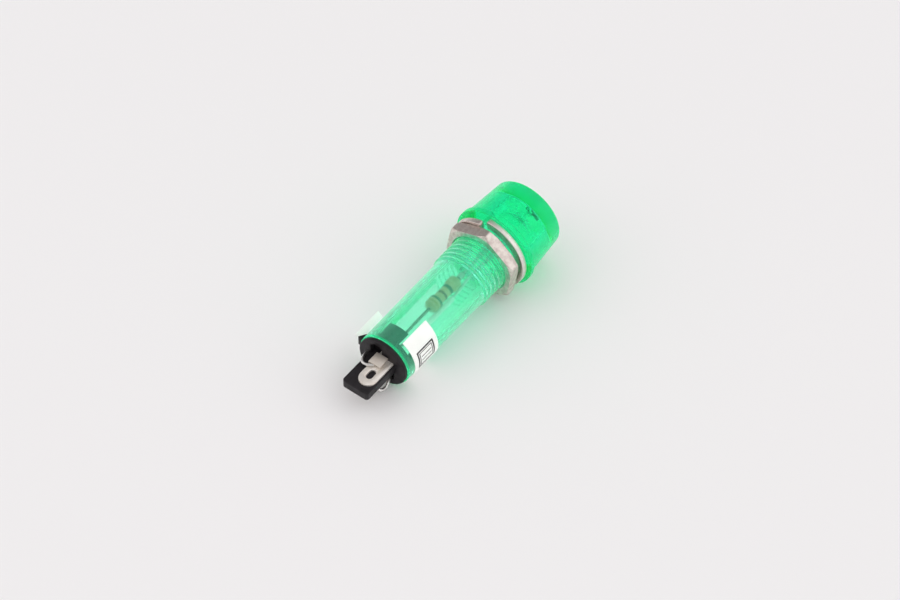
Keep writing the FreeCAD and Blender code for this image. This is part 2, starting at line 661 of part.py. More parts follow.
def make_bulb():
    """The neon bulb: a thin glass tube with a sealed-off tip, two electrodes and a pressed seal."""
    owner = body("neon_bulb_glass")
    inner = "bulb_dia / 2 - bulb_wall"
    turned(owner, "glass", [
        ("bulb_tip - pip_length", "0"),
        ("bulb_tip - pip_length", "pip_dia / 4"),
        ("bulb_tip", "pip_dia / 2"),
        ("bulb_tip", "bulb_dia / 2"),
        ("bulb_shoulder", "bulb_dia / 2"),
        ("pinch_start", "pinch_thick"),
        ("pinch_start", "0"),
        ("pinch_start - bulb_wall", "0"),
        ("bulb_shoulder", inner),
        ("bulb_tip + bulb_wall * 2", inner),
        ("bulb_tip + bulb_wall * 2", "0"),
    ])
    rounded(owner, "dome", "bulb_dia / 2 - bulb_wall * 2", rim_at("bulb_tip", "bulb_dia"))
    stems = [("stem_side", "0", "stem_dia"), ("-1 * stem_side", "0", "stem_dia")]
    holes = circles(owner, "stem_holes_profile", "YZ_Plane", stems, "pinch_start")
    feature(owner, "Pocket", "stem_holes", holes, Length="bulb_wall * 2")

    seal = body("neon_bulb_seal")
    blank = outline(seal, "seal_profile", "YZ_Plane", [
        ("pinch_width / 2", "pinch_thick / 2"),
        ("-1 * pinch_width / 2", "pinch_thick / 2"),
        ("-1 * pinch_width / 2", "-1 * pinch_thick / 2"),
        ("pinch_width / 2", "-1 * pinch_thick / 2"),
    ], "pinch_start")
    feature(seal, "Pad", "seal", blank, Length="pinch_length")
    through = circles(seal, "seal_holes_profile", "YZ_Plane", stems, "pinch_start + pinch_length")
    feature(seal, "Pocket", "seal_holes", through, Length="pinch_length")

    for name, side in (("electrode_left", "-1 * stem_side"), ("electrode_right", "stem_side")):
        post = body(name, y=side)
        turned(post, f"{name}_rod", [
            ("rod_start", "0"),
            ("rod_start", "rod_dia / 2"),
            ("rod_start + rod_length", "rod_dia / 2"),
            ("rod_start + rod_length", "stem_dia / 2"),
            ("pinch_start + pinch_length", "stem_dia / 2"),
            ("pinch_start + pinch_length", "0"),
        ])
        rounded(post, f"{name}_end", "rod_dia / 4", rim_at("rod_start", "rod_dia"))


def make_resistor():
    """The series resistor: a ceramic rod with steel end caps, in a lacquer coat with painted bands."""
    start = "resistor_start"
    end = "resistor_start + resistor_length"
    rod("resistor_rod", "core_dia", "resistor_length - core_end * 2", x=f"{start} + core_end",
        y="resistor_side")
    front_cap = f"{start} + core_end - cap_wall"
    rear_cap = f"{end} - core_end + cap_wall"
    for name, closed, opened, inside in (
        ("resistor_cap_front", front_cap, f"{front_cap} + cap_length", "+ cap_wall"),
        ("resistor_cap_rear", rear_cap, f"{rear_cap} - cap_length", "- cap_wall"),
    ):
        cap = body(name, y="resistor_side")
        turned(cap, f"{name}_cup", [
            (closed, "0"),
            (closed, "cap_dia / 2"),
            (opened, "cap_dia / 2"),
            (opened, "core_dia / 2"),
            (f"{closed} {inside}", "core_dia / 2"),
            (f"{closed} {inside}", "0"),
        ])
    coat = body("resistor_coat", y="resistor_side")
    neck = "wire_dia / 2"
    waist = "resistor_waist_dia / 2"
    bulge = "resistor_dia / 2"
    turned(coat, "coat", [
        (start, neck),
        (f"{start} + coat_nose", f"{bulge} - coat_nose_drop"),
        (f"{start} + coat_round", bulge),
        (f"{start} + resistor_bulge - coat_slope", bulge),
        (f"{start} + resistor_bulge", waist),
        (f"{end} - resistor_bulge", waist),
        (f"{end} - resistor_bulge + coat_slope", bulge),
        (f"{end} - coat_round", bulge),
        (f"{end} - coat_nose", f"{bulge} - coat_nose_drop"),
        (end, neck),
        (rear_cap, neck),
        (rear_cap, "cap_dia / 2"),
        (f"{rear_cap} - cap_length", "cap_dia / 2"),
        (f"{rear_cap} - cap_length", "core_dia / 2"),
        (f"{front_cap} + cap_length", "core_dia / 2"),
        (f"{front_cap} + cap_length", "cap_dia / 2"),
        (front_cap, "cap_dia / 2"),
        (front_cap, neck),
    ])
    for name, over, place, width in BANDS:
        tube(name, f"{over} + band_rise * 2", over, width, x=f"{start} + {place}", y="resistor_side")


def make_wiring():
    """The leads, the joint between bulb and resistor, and the sleeve on the return lead."""
    bend = size("wire_bend")
    beside = size("resistor_side")
    seal_end = number("pinch_start + pinch_length")
    strip_top = number("divider_thick / 2 + tag_thick + wire_dia / 2 + wire_float")
    rear = number("resistor_start + resistor_length - core_end + cap_wall")
    hole = size("hole_side")
    lift = size("hole_up")
    side = size("return_side")
    down = size("return_down")
    stem = size("stem_side")
    rod("resistor_lead_front", "wire_dia", "resistor_start + core_end - cap_wall - joint_x",
        x="joint_x", y="resistor_side")
    rod("bulb_lead", "wire_dia", "joint_x - pinch_start - pinch_length", x="pinch_start + pinch_length",
        y="resistor_side")
    tube("crimped_joint", "joint_dia", "wire_dia", "joint_length", x="joint_x - joint_length / 2",
         y="resistor_side")
    wire("return_lead", [
        (seal_end, stem, 0),
        (7.6, stem, 0),
        (9.2, side, down),
        (22.0, side, down),
        (24.3, -2.05, -1.2),
        (25.9, -hole, lift),
        (28.5, -hole, lift),
        (30.3, -2.2, strip_top),
        (30.97, -1.65, strip_top),
        (30.9, -0.75, strip_top),
        (30.0, 0.2, strip_top),
        (28.7, 0.25, strip_top),
    ], bend)
    tube("return_lead_sleeve", "sleeve_dia", "sleeve_bore_dia", "sleeve_length", x="sleeve_start",
         y="return_side", z="return_down")
    wire("resistor_lead_rear", [
        (rear, beside, 0),
        (22.6, beside, 0),
        (24.6, -0.2, -0.15),
        (25.9, size("deep_hole_side"), -size("deep_hole_up")),
        (28.6, size("deep_hole_side"), -size("deep_hole_up")),
        (30.3, 2.2, -2.75),
        (31.6, 2.0, -2.1),
        (31.4, 0.9, -strip_top),
        (30.4, -0.15, -strip_top),
        (28.7, -0.25, -strip_top),
    ], bend)


def make_label():
    """A paper label wrapped round the barrel, its end standing off it as a short straight flap."""
    inner = size("shank_dia") / 2 + size("label_gap")
    outer = inner + size("label_thick")
    start = math.radians(size("label_from"))
    leave = math.radians(size("label_to"))
    front = size("label_front")

    def spot(angle, radius):
        return Vector(front, radius * math.sin(angle), radius * math.cos(angle))

    along = Vector(0, math.cos(leave), -math.sin(leave)) * size("label_flap")
    middle = (start + leave) / 2
    inner_start, inner_end = spot(start, inner), spot(leave, inner)
    outer_start, outer_end = spot(start, outer), spot(leave, outer)
    edges = [
        Part.Arc(inner_start, spot(middle, inner), inner_end).toShape(),
        Part.LineSegment(inner_end, inner_end + along).toShape(),
        Part.LineSegment(inner_end + along, outer_end + along).toShape(),
        Part.LineSegment(outer_end + along, outer_end).toShape(),
        Part.Arc(outer_end, spot(middle, outer), outer_start).toShape(),
        Part.LineSegment(outer_start, inner_start).toShape(),
    ]
    new = doc.addObject("Part::Feature", "label")
    new.Label = "label"
    new.Shape = Part.Face(Part.Wire(edges)).extrude(X_AXIS * size("label_width"))
    pieces.append(new)


def check_and_write():
    """Stop on any failed object; then write each sub-part to its own STEP file."""
    doc.recompute()
    for thing in doc.Objects:
        if "Invalid" in thing.State or "Error" in thing.State:
            raise RuntimeError(f"{thing.Label} failed: {thing.State}")
    os.makedirs("parts", exist_ok=True)
    for piece in pieces:
        if piece.Shape.isNull() or not piece.Shape.isValid():
            raise RuntimeError(f"{piece.Label} has no valid shape")
        piece.Shape.exportStep(f"parts/{piece.Label}.step")
        print(f"{piece.Label}: {piece.Shape.Volume:.3f} mm3, {len(piece.Shape.Solids)} solid")


fill_sheet()
make_lens_barrel()
make_lock_washer()
make_hex_nut()
make_rear_plug()
make_tag("terminal_upper", 0)
make_tag("terminal_lower", 180)
make_bulb()
make_resistor()
make_wiring()
make_label()
check_and_write()
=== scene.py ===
import bmesh
import bpy
import math
from mathutils import Matrix, Vector


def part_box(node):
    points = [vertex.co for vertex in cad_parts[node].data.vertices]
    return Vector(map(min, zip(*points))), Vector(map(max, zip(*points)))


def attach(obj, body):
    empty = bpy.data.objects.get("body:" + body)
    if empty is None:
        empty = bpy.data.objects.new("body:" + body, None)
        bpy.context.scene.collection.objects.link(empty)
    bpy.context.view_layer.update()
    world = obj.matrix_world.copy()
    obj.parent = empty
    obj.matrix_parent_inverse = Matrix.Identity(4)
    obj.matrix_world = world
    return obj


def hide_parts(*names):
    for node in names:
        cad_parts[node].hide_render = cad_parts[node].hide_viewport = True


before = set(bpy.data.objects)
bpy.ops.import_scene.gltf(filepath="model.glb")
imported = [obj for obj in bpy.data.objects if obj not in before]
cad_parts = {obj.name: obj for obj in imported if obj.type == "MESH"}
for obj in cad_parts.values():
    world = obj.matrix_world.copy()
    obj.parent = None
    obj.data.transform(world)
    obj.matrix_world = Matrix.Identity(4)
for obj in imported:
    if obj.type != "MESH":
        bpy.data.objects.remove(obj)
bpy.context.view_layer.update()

# A green neon panel lamp: clear moulding with head, flange, threaded neck and barrel; spring washer and
# nut; black rear plug with two solder tags; bulb, resistor and leads inside; a paper label round it.
# Lengths are in millimetres and become metres in MM. X runs along the lamp's axis towards the tags,
# x = 0 is the rear face of the flange, and angles round the axis are counted from +Y towards +Z.

MM = 0.001

HEAD_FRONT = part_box("lens_barrel")[0].x / MM
BARREL_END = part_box("lens_barrel")[1].x / MM
FLANGE_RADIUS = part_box("lens_barrel")[1].y / MM
NUT_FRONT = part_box("hex_nut")[0].x / MM
NUT_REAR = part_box("hex_nut")[1].x / MM
LABEL_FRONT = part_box("label")[0].x / MM
LABEL_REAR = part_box("label")[1].x / MM

# The clear moulding and its thread.
HEAD_RADIUS = 6.2
HEAD_FOOT_RADIUS = 6.85
FLANGE_FRONT = -1.1
ROOT_RADIUS = 4.7
SHANK_FRONT = 9.8
SHANK_RADIUS = 4.65
TAIL_RADIUS = 4.61
BORE_FRONT = -6.8
BORE_FRONT_RADIUS = 3.85
BORE_REAR_RADIUS = 4.12
PITCH = 1.0
THREAD_FIRST = 1.3
THREAD_TURNS = 8.0

# The spring washer at rest.
WASHER_BORE = 5.15
WASHER_RADIUS = 6.6
WASHER_FRONT = 0.03
WASHER_REAR = 0.98

# The tags' outer faces, the wires, the sleeve and the crimped joint.
TAG_FACE = 1.2
WIRE_RADIUS = 0.25
RETURN_SIDE = 0.25
RETURN_LIFT = -1.8
SLEEVE_FRONT = 10.4
SLEEVE_REAR = 21.2
SLEEVE_RADIUS = 0.475
SLEEVE_BORE = 0.28
JOINT_FRONT = 6.7
JOINT_MIDDLE = 7.3
JOINT_REAR = 7.9
JOINT_RADIUS = 0.5

# The resistor.
RESISTOR_SIDE = -0.65
RESISTOR_FRONT = 8.3
RESISTOR_REAR = 15.3
RESISTOR_RADIUS = 1.2
RESISTOR_WAIST = 0.95
BAND_RISE = 0.025

# The bulb.
BULB_RADIUS = 2.9
BULB_BORE = 2.55
BULB_FRONT = -5.9
BULB_TIP = -6.6
SEAL_FRONT = 4.8
STEM_SIDE = 0.65
STEM_END = 6.4

# The label: its angles are counted from +Z towards +Y.
LABEL_RADIUS = 4.72
LABEL_MARGIN = 0.02
LABEL_START = 29.0
LABEL_LEAVE = 217.5
LABEL_FREE_END = 5.05
LABEL_THICKNESS = 0.1


# ---------------------------------------------------------------- node trees

class Wire:
    """A value that runs through a node tree. Sums of wires put Math nodes into the tree."""

    def __init__(self, tree, socket):
        self.tree = tree
        self.socket = socket

    def maths(self, operation, *others):
        node = self.tree.nodes.new("ShaderNodeMath")
        node.operation = operation
        for socket, value in zip(node.inputs, (self, *others)):
            plug_in(self.tree, value, socket)
        return Wire(self.tree, node.outputs[0])

    def __add__(self, other):
        return self.maths("ADD", other)

    def __sub__(self, other):
        return self.maths("SUBTRACT", other)

    def __mul__(self, other):
        return self.maths("MULTIPLY", other)

    def __truediv__(self, other):
        return self.maths("DIVIDE", other)

    def ramp(self, low, high, out_low=0.0, out_high=1.0):
        """A smooth step from out_low to out_high as the value goes from low to high."""
        node = self.tree.nodes.new("ShaderNodeMapRange")
        node.interpolation_type = "SMOOTHSTEP"
        for name, value in (("Value", self), ("From Min", low), ("From Max", high),
                            ("To Min", out_low), ("To Max", out_high)):
            plug_in(self.tree, value, node.inputs[name])
        return Wire(self.tree, node.outputs["Result"])


def plug_in(tree, value, socket):
    """Link a wire to a socket, or set the socket to a plain value."""
    if isinstance(value, Wire):
        tree.links.new(value.socket, socket)
    else:
        socket.default_value = value


def add_node(tree, kind, inputs=(), output=0, **settings):
    """Put a node into a tree, with its settings and its inputs by name, and return one output."""
    node = tree.nodes.new(kind)
    for name, value in settings.items():
        setattr(node, name, value)
    for name, value in dict(inputs).items():
        plug_in(tree, value, node.inputs[name])
    return Wire(tree, node.outputs[output])


def new_group(name, kind, inputs, outputs):
    """A node group with named inputs and outputs, and wires from its inputs by name."""
    tree = bpy.data.node_groups.new(name, kind)
    for direction, items in (("INPUT", inputs), ("OUTPUT", outputs)):
        for label, (socket_type, value) in items.items():
            item = tree.interface.new_socket(label, in_out=direction, socket_type=socket_type)
            if value is not None:
                item.default_value = value
    source = tree.nodes.new("NodeGroupInput")
    sink = tree.nodes.new("NodeGroupOutput")
    return tree, {label: Wire(tree, source.outputs[label]) for label in inputs}, sink


NUMBER = "NodeSocketFloat"
COLOUR = "NodeSocketColor"
SHAPE = "NodeSocketGeometry"
WHOLE = "NodeSocketInt"
STUFF = "NodeSocketMaterial"


def shape_group(name, **sizes):
    """A Geometry Nodes tree whose inputs are a profile, a finish, a count of steps and named sizes."""
    inputs = {"Profile": (SHAPE, None), "Finish": (STUFF, None), "Steps": (WHOLE, 96)}
    inputs.update({label.replace("_", " "): (NUMBER, value) for label, value in sizes.items()})
    tree, given, sink = new_group(name, "GeometryNodeTree", inputs, {"Shape": (SHAPE, None)})
    tree.is_modifier = True
    return tree, given, sink


def profile_grid(tree, given):
    """A grid with one row for each profile point, and its fields: place along, radius and turn."""
    position = add_node(tree, "GeometryNodeInputPosition")
    count = add_node(tree, "GeometryNodeAttributeDomainSize", {"Geometry": given["Profile"]}, "Point Count")
    grid = add_node(tree, "GeometryNodeMeshGrid", {
        "Size X": 1.0, "Size Y": 1.0, "Vertices X": count, "Vertices Y": given["Steps"] + 1}, "Mesh")
    place = tree.nodes.new("ShaderNodeSeparateXYZ")
    plug_in(tree, position, place.inputs[0])
    row = (Wire(tree, place.outputs["X"]) + 0.5) * (count - 1)
    turn = Wire(tree, place.outputs["Y"]) + 0.5
    point = add_node(tree, "GeometryNodeSampleIndex", {
        "Geometry": given["Profile"], "Value": position, "Index": row.maths("ROUND")}, "Value",
        data_type="FLOAT_VECTOR", domain="POINT")
    spot = tree.nodes.new("ShaderNodeSeparateXYZ")
    plug_in(tree, point, spot.inputs[0])
    return grid, Wire(tree, spot.outputs["X"]), Wire(tree, spot.outputs["Y"]), turn


def set_round_axis(tree, grid, along, radius, angle, side=0.0, lift=0.0):
    """Put a grid's points round the X axis, moved sideways and up, and close its seam and poles."""
    place = add_node(tree, "ShaderNodeCombineXYZ", {
        "X": along,
        "Y": radius * angle.maths("COSINE") + side,
        "Z": radius * angle.maths("SINE") + lift})
    moved = add_node(tree, "GeometryNodeSetPosition", {"Geometry": grid, "Position": place})
    return add_node(tree, "GeometryNodeMergeByDistance", {"Geometry": moved, "Distance": 0.5e-6})


def finish_shape(tree, shape, given, sink):
    """Smooth shading and the finish, with instances made real."""
    smooth = add_node(tree, "GeometryNodeSetShadeSmooth", {"Geometry": shape})
    real = add_node(tree, "GeometryNodeRealizeInstances", {"Geometry": smooth})
    done = add_node(tree, "GeometryNodeSetMaterial", {"Geometry": real, "Material": given["Finish"]})
    plug_in(tree, done, sink.inputs["Shape"])
    return tree


def ridge_share(along, turn, given, clamped):
    """How far a helical ridge rises at each point, from 0 to 1, and how many turns along it lies."""
    loose = (along - given["Thread First"]) / given["Pitch"] - turn
    whole = loose.maths("ROUND")
    if clamped:
        whole = whole.maths("MAXIMUM", 0.0).maths("MINIMUM", given["Thread Turns"] - 1)
    turns = whole + turn
    away = (along - given["Thread First"] - turns * given["Pitch"]).maths("ABSOLUTE")
    return away.ramp(given["Ridge Base"] * 0.5, given["Ridge Top"] * 0.5), turns


def turned_tree():
    """Turns a profile about an axis that lies beside the lamp's own."""
    tree, given, sink = shape_group("turned_piece", Side=0.0, Lift=0.0)
    grid, along, radius, turn = profile_grid(tree, given)
    shape = set_round_axis(tree, grid, along, radius, turn * math.tau, given["Side"], given["Lift"])
    return finish_shape(tree, shape, given, sink)


def moulding_tree():
    """Turns the lamp body's profile, and adds its thread, its two mould lines and its snap window."""
    tree, given, sink = shape_group(
        "threaded_moulding", Thread_First=THREAD_FIRST * MM, Pitch=PITCH * MM, Thread_Turns=THREAD_TURNS,
        Ridge_Base=0.78 * MM, Ridge_Top=0.2 * MM, Ridge_Height=0.28 * MM, Fade_Turns=0.55,
        Neck_Radius=4.45 * MM, Seam_Turn=0.307, Seam_Width=0.17 * MM, Seam_Height=0.035 * MM,
        Window_Middle=26.0 * MM, Window_Length=2.4 * MM, Window_Width=2.2 * MM)
    grid, along, radius, turn = profile_grid(tree, given)
    share, turns = ridge_share(along, turn, given, clamped=True)
    start = turns.ramp(0.0, given["Fade Turns"])
    stop = (given["Thread Turns"] - turns).ramp(0.0, given["Fade Turns"])
    outside = radius.ramp(given["Neck Radius"] - 0.05 * MM, given["Neck Radius"])
    on_neck = outside * along.ramp(0.1 * MM, 0.4 * MM) * radius.ramp(5.2 * MM, 5.0 * MM)
    seam = ((turn - given["Seam Turn"]) * math.tau).maths("SINE").maths("ABSOLUTE") * radius
    line = seam.ramp(given["Seam Width"] * 0.5, 0.0) * given["Seam Height"] * outside
    line = line * along.ramp(BARREL_END * MM, (BARREL_END - 0.4) * MM)
    line = line * along.ramp((HEAD_FRONT + 0.7) * MM, (HEAD_FRONT + 1.4) * MM)
    line = line * radius.ramp(7.19 * MM, 6.95 * MM)
    grown = radius + share * start * stop * on_neck * given["Ridge Height"] + line
    shape = set_round_axis(tree, grid, along, grown, turn * math.tau)
    size = add_node(tree, "ShaderNodeCombineXYZ", {
        "X": given["Window Length"], "Y": 3.0 * MM, "Z": given["Window Width"]})
    block = add_node(tree, "GeometryNodeMeshCube", {"Size": size}, "Mesh")
    spot = add_node(tree, "ShaderNodeCombineXYZ", {"X": given["Window Middle"], "Y": -4.6 * MM})
    block = add_node(tree, "GeometryNodeTransform", {"Geometry": block, "Translation": spot})
    cut = add_node(tree, "GeometryNodeMeshBoolean", {"Mesh 1": shape, "Mesh 2": block}, "Mesh",
                   operation="DIFFERENCE", solver="EXACT")
    return finish_shape(tree, cut, given, sink)


def nut_tree():
    """A hex nut from rows of places: x along, and a share from the bore (0) to the outside (1)."""
    tree, given, sink = shape_group(
        "bevelled_nut", Half_Flats=6.0 * MM, Corner_Turn=81.7 / 360, Corner_Radius=6.86 * MM,
        Land_Radius=6.25 * MM, Bevel_Slope=1.9, Edge_Round=0.09 * MM, Front=NUT_FRONT * MM,
        Rear=NUT_REAR * MM, Bore_Radius=4.82 * MM, Groove_Depth=0.25 * MM, Countersink=0.4 * MM,
        Thread_First=THREAD_FIRST * MM, Pitch=PITCH * MM, Ridge_Base=0.86 * MM, Ridge_Top=0.31 * MM)
    grid, along, share, turn = profile_grid(tree, given)
    share = share / MM
    sixth = (turn - given["Corner Turn"]) * 6
    local = (sixth - sixth.maths("FLOOR") - 0.5) * (math.pi / 3)
    hexagon = given["Half Flats"] / local.maths("COSINE")
    hexagon = hexagon.maths("SMOOTH_MIN", given["Corner Radius"], given["Edge Round"])
    depth = (along - given["Front"]).maths("MINIMUM", given["Rear"] - along)
    cone = given["Land Radius"] + depth * given["Bevel Slope"]
    outer = hexagon.maths("SMOOTH_MIN", cone, given["Edge Round"])
    groove, _ = ridge_share(along, turn, given, clamped=False)
    bore = given["Bore Radius"] + groove * given["Groove Depth"]
    countersink = given["Bore Radius"] + given["Countersink"] - depth
    inner = bore.maths("SMOOTH_MAX", countersink, given["Edge Round"])
    radius = inner + (outer - inner) * share
    shape = set_round_axis(tree, grid, along, radius, turn * math.tau)
    return finish_shape(tree, shape, given, sink)


def spring_tree():
    """Sweeps a closed section along one turn of a left-hand coil, and closes both cut ends."""
    tree, given, sink = shape_group(
        "split_ring", Start_Turn=96.0 / 360, Sweep_Turns=354.0 / 360, Rise=0.95 * MM,
        Section_Along=0.505 * MM, Section_Radius=5.875 * MM, End_Shrink=0.9)
    grid, along, radius, turn = profile_grid(tree, given)
    step = turn * given["Steps"]
    from_end = step.maths("MINIMUM", given["Steps"] - step)
    shrink = (from_end * given["End Shrink"]).maths("MINIMUM", given["End Shrink"] + (from_end - 1))
    shrink = shrink.maths("MINIMUM", 1.0)
    share = ((step - 1) / (given["Steps"] - 2)).maths("MAXIMUM", 0.0).maths("MINIMUM", 1.0)
    along = given["Section Along"] + (along - given["Section Along"]) * shrink + share * given["Rise"]
    radius = given["Section Radius"] + (radius - given["Section Radius"]) * shrink
    angle = (given["Start Turn"] - share * given["Sweep Turns"]) * math.tau
    shape = set_round_axis(tree, grid, along, radius, angle)
    return finish_shape(tree, shape, given, sink)


# ---------------------------------------------------------------- making meshes

def new_piece(name, mesh):
    piece = bpy.data.objects.new(name, mesh)
    bpy.context.scene.collection.objects.link(piece)
    return piece


def baked(source, name):
    """A plain mesh piece from an object's evaluated shape; the source is removed."""
    bpy.context.view_layer.update()
    graph = bpy.context.evaluated_depsgraph_get()
    mesh = bpy.data.meshes.new_from_object(source.evaluated_get(graph), depsgraph=graph)
    bpy.data.objects.remove(source)
    mesh.name = name
    work = bmesh.new()
    work.from_mesh(mesh)
    bmesh.ops.recalc_face_normals(work, faces=work.faces)
    work.to_mesh(mesh)
    work.free()
    return new_piece(name, mesh)


def grown(name, points, tree, finish, steps, **sizes):
    """A piece that a tree grows from profile points in millimetres. Sizes are the tree's own inputs."""
    mesh = bpy.data.meshes.new(name + "_profile")
    mesh.from_pydata([(x * MM, r * MM, 0) for x, r in points], [], [])
    source = new_piece(name + "_profile", mesh)
    modifier = source.modifiers.new("shape", "NODES")
    modifier.node_group = tree
    sizes = {label.replace("_", " "): value for label, value in sizes.items()}
    sizes.update({"Finish": finish, "Steps": steps})
    for item in tree.interface.items_tree:
        if item.name in sizes:
            modifier[item.identifier] = sizes[item.name]
    return baked(source, name)


def rounded(corners, arc_steps=5):
    """Profile points from corners (x, radius, round): each round is a tangent arc."""
    points = []
    for index, (x, r, bend) in enumerate(corners):
        here = Vector((x, r))
        if not bend or index in (0, len(corners) - 1):
            points.append(here)
            continue
        back = (Vector(corners[index - 1][:2]) - here).normalized()
        ahead = (Vector(corners[index + 1][:2]) - here).normalized()
        half = back.angle(ahead) / 2
        centre = here + (back + ahead).normalized() * (bend / math.sin(half))
        first = here + back * (bend / math.tan(half)) - centre
        last = here + ahead * (bend / math.tan(half)) - centre
        for step in range(arc_steps + 1):
            points.append(centre + first.slerp(last, step / arc_steps).normalized() * bend)
    return points


def divided(points, spacing, wanted):
    """The same profile with runs that the test picks divided at a spacing."""
    result = [points[0]]
    for before, after in zip(points, points[1:]):
        count = 1
        if wanted(before, after):
            count = max(1, math.ceil((after - before).length / spacing))
        result += [before.lerp(after, step / count) for step in range(1, count + 1)]
    return result


def refined_copy(node, name, finish, bevel):
    """A welded copy of a CAD node with its flat faces joined and its edges bevelled."""
    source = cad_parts[node]
    work = bmesh.new()
    work.from_mesh(source.data)
    bmesh.ops.remove_doubles(work, verts=work.verts, dist=1e-6)
    bmesh.ops.dissolve_limit(work, angle_limit=math.radians(1.0), verts=work.verts, edges=work.edges)
    mesh = bpy.data.meshes.new(name)
    work.to_mesh(mesh)
    work.free()
    mesh.materials.clear()
    mesh.materials.append(finish)
    copy = new_piece(name + "_copy", mesh)
    edge = copy.modifiers.new("edges", "BEVEL")
    edge.width = bevel * MM
    edge.segments = 3
    edge.limit_method = "ANGLE"
    edge.angle_limit = math.radians(30)
    edge.use_clamp_overlap = True
    edge.harden_normals = True
    piece = baked(copy, name)
    for face in piece.data.polygons:
        face.use_smooth = True
    return piece


def bent_wire(name, route, finish):
    """A round wire along a smooth curve whose control points are a route in millimetres."""
    curve = bpy.data.curves.new(name, "CURVE")
    curve.dimensions = "3D"
    spline = curve.splines.new("NURBS")
    spline.points.add(len(route) - 1)
    for point, place in zip(spline.points, route):
        point.co = (*(c * MM for c in place), 1.0)
    spline.order_u = 3
    spline.use_endpoint_u = True
    spline.resolution_u = 16
    curve.bevel_depth = WIRE_RADIUS * MM
    curve.bevel_resolution = 5
    curve.use_fill_caps = True
    curve.materials.append(finish)
    return baked(new_piece(name + "_curve", curve), name)


def place_piece(piece, body, node):
    """Tie a piece to its body, and hide the CAD node that it stands for."""
    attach(piece, body)
    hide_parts(node)


# ---------------------------------------------------------------- finishes

def object_place(tree):
    """The place on a piece, and its three parts: along the lamp, sideways and up."""
    where = add_node(tree, "ShaderNodeTexCoord", output="Object")
    split = tree.nodes.new("ShaderNodeSeparateXYZ")
    plug_in(tree, where, split.inputs[0])
    return where, *(Wire(tree, split.outputs[axis]) for axis in ("X", "Y", "Z"))


def blend_colour(tree, share, first, second):
    """A colour that goes from the first to the second as the share goes from 0 to 1."""
    mix = tree.nodes.new("ShaderNodeMix")
    mix.data_type = "RGBA"
    plug_in(tree, share, mix.inputs["Factor"])
    for colour, socket in ((first, mix.inputs[6]), (second, mix.inputs[7])):
        plug_in(tree, colour if isinstance(colour, Wire) else (*colour, 1), socket)
    return Wire(tree, mix.outputs[2])


def mixed_shader(tree, share, first, second):
    mix = add_node(tree, "ShaderNodeMixShader", {"Fac": share})
    plug_in(tree, first, mix.socket.node.inputs[1])
    plug_in(tree, second, mix.socket.node.inputs[2])
    return mix


def surface_group():
    """Uneven colour, roughness and fine relief of an opaque surface."""
    tree, given, sink = new_group("uneven_surface", "ShaderNodeTree", {
        "Light Colour": (COLOUR, (0.8, 0.8, 0.8, 1)),
        "Dark Colour": (COLOUR, (0.6, 0.6, 0.6, 1)),
        "Patch Scale": (NUMBER, 400.0),
        "Grain Scale": (NUMBER, 4000.0),
        "Stretch": (NUMBER, 1.0),
        "Smooth Roughness": (NUMBER, 0.3),
        "Dull Roughness": (NUMBER, 0.5),
    }, {"Colour": (COLOUR, None), "Roughness": (NUMBER, None), "Height": (NUMBER, None)})
    where, along, side, lift = object_place(tree)
    drawn = add_node(tree, "ShaderNodeCombineXYZ", {"X": along / given["Stretch"], "Y": side, "Z": lift})
    patches = add_node(tree, "ShaderNodeTexNoise", {
        "Vector": where, "Scale": given["Patch Scale"], "Detail": 4.0, "Roughness": 0.6})
    grain = add_node(tree, "ShaderNodeTexNoise", {
        "Vector": drawn, "Scale": given["Grain Scale"], "Detail": 3.0, "Roughness": 0.65})
    share = patches.ramp(0.32, 0.68)
    rough = given["Smooth Roughness"] + (given["Dull Roughness"] - given["Smooth Roughness"]) * (
        share * 0.6 + grain * 0.4)
    colour = blend_colour(tree, share, given["Light Colour"], given["Dark Colour"])
    for label, value in (("Colour", colour), ("Roughness", rough), ("Height", grain)):
        plug_in(tree, value, sink.inputs[label])
    return tree


SURFACE = surface_group()


def new_finish(name):
    finish = bpy.data.materials.new(name)
    finish.use_nodes = True
    tree = finish.node_tree
    tree.nodes.clear()
    shader = tree.nodes.new("ShaderNodeBsdfPrincipled")
    output = tree.nodes.new("ShaderNodeOutputMaterial")
    tree.links.new(shader.outputs[0], output.inputs["Surface"])
    return finish, tree, shader, output


def opaque_finish(name, light, dark, smooth, dull, patch=400.0, grain=4000.0, stretch=1.0, relief=0.1,
                  relief_depth=0.02, **constants):
    """A finish with uneven colour and roughness and fine relief; colours are light and dark patches."""
    finish, tree, shader, _ = new_finish(name)
    group = tree.nodes.new("ShaderNodeGroup")
    group.node_tree = SURFACE
    for label, value in (("Light Colour", (*light, 1)), ("Dark Colour", (*dark, 1)), ("Patch Scale", patch),
                         ("Grain Scale", grain), ("Stretch", stretch), ("Smooth Roughness", smooth),
                         ("Dull Roughness", dull)):
        group.inputs[label].default_value = value
    plug_in(tree, Wire(tree, group.outputs["Colour"]), shader.inputs["Base Color"])
    plug_in(tree, Wire(tree, group.outputs["Roughness"]), shader.inputs["Roughness"])
    bump = add_node(tree, "ShaderNodeBump", {
        "Strength": relief, "Distance": relief_depth * MM, "Height": Wire(tree, group.outputs["Height"])})
    plug_in(tree, bump, shader.inputs["Normal"])
    for label, value in constants.items():
        shader.inputs[label.replace("_", " ")].default_value = value
    return finish


def surface_with_light_shadow(tree, output, body, tint):
    """Send a shader to the surface. Shadow rays only take a tint from it, so the shadow stays light."""
    through = add_node(tree, "ShaderNodeBsdfTransparent", {"Color": (*tint, 1)})
    shadow_ray = add_node(tree, "ShaderNodeLightPath", output="Is Shadow Ray")
    plug_in(tree, mixed_shader(tree, shadow_ray, body, through), output.inputs["Surface"])


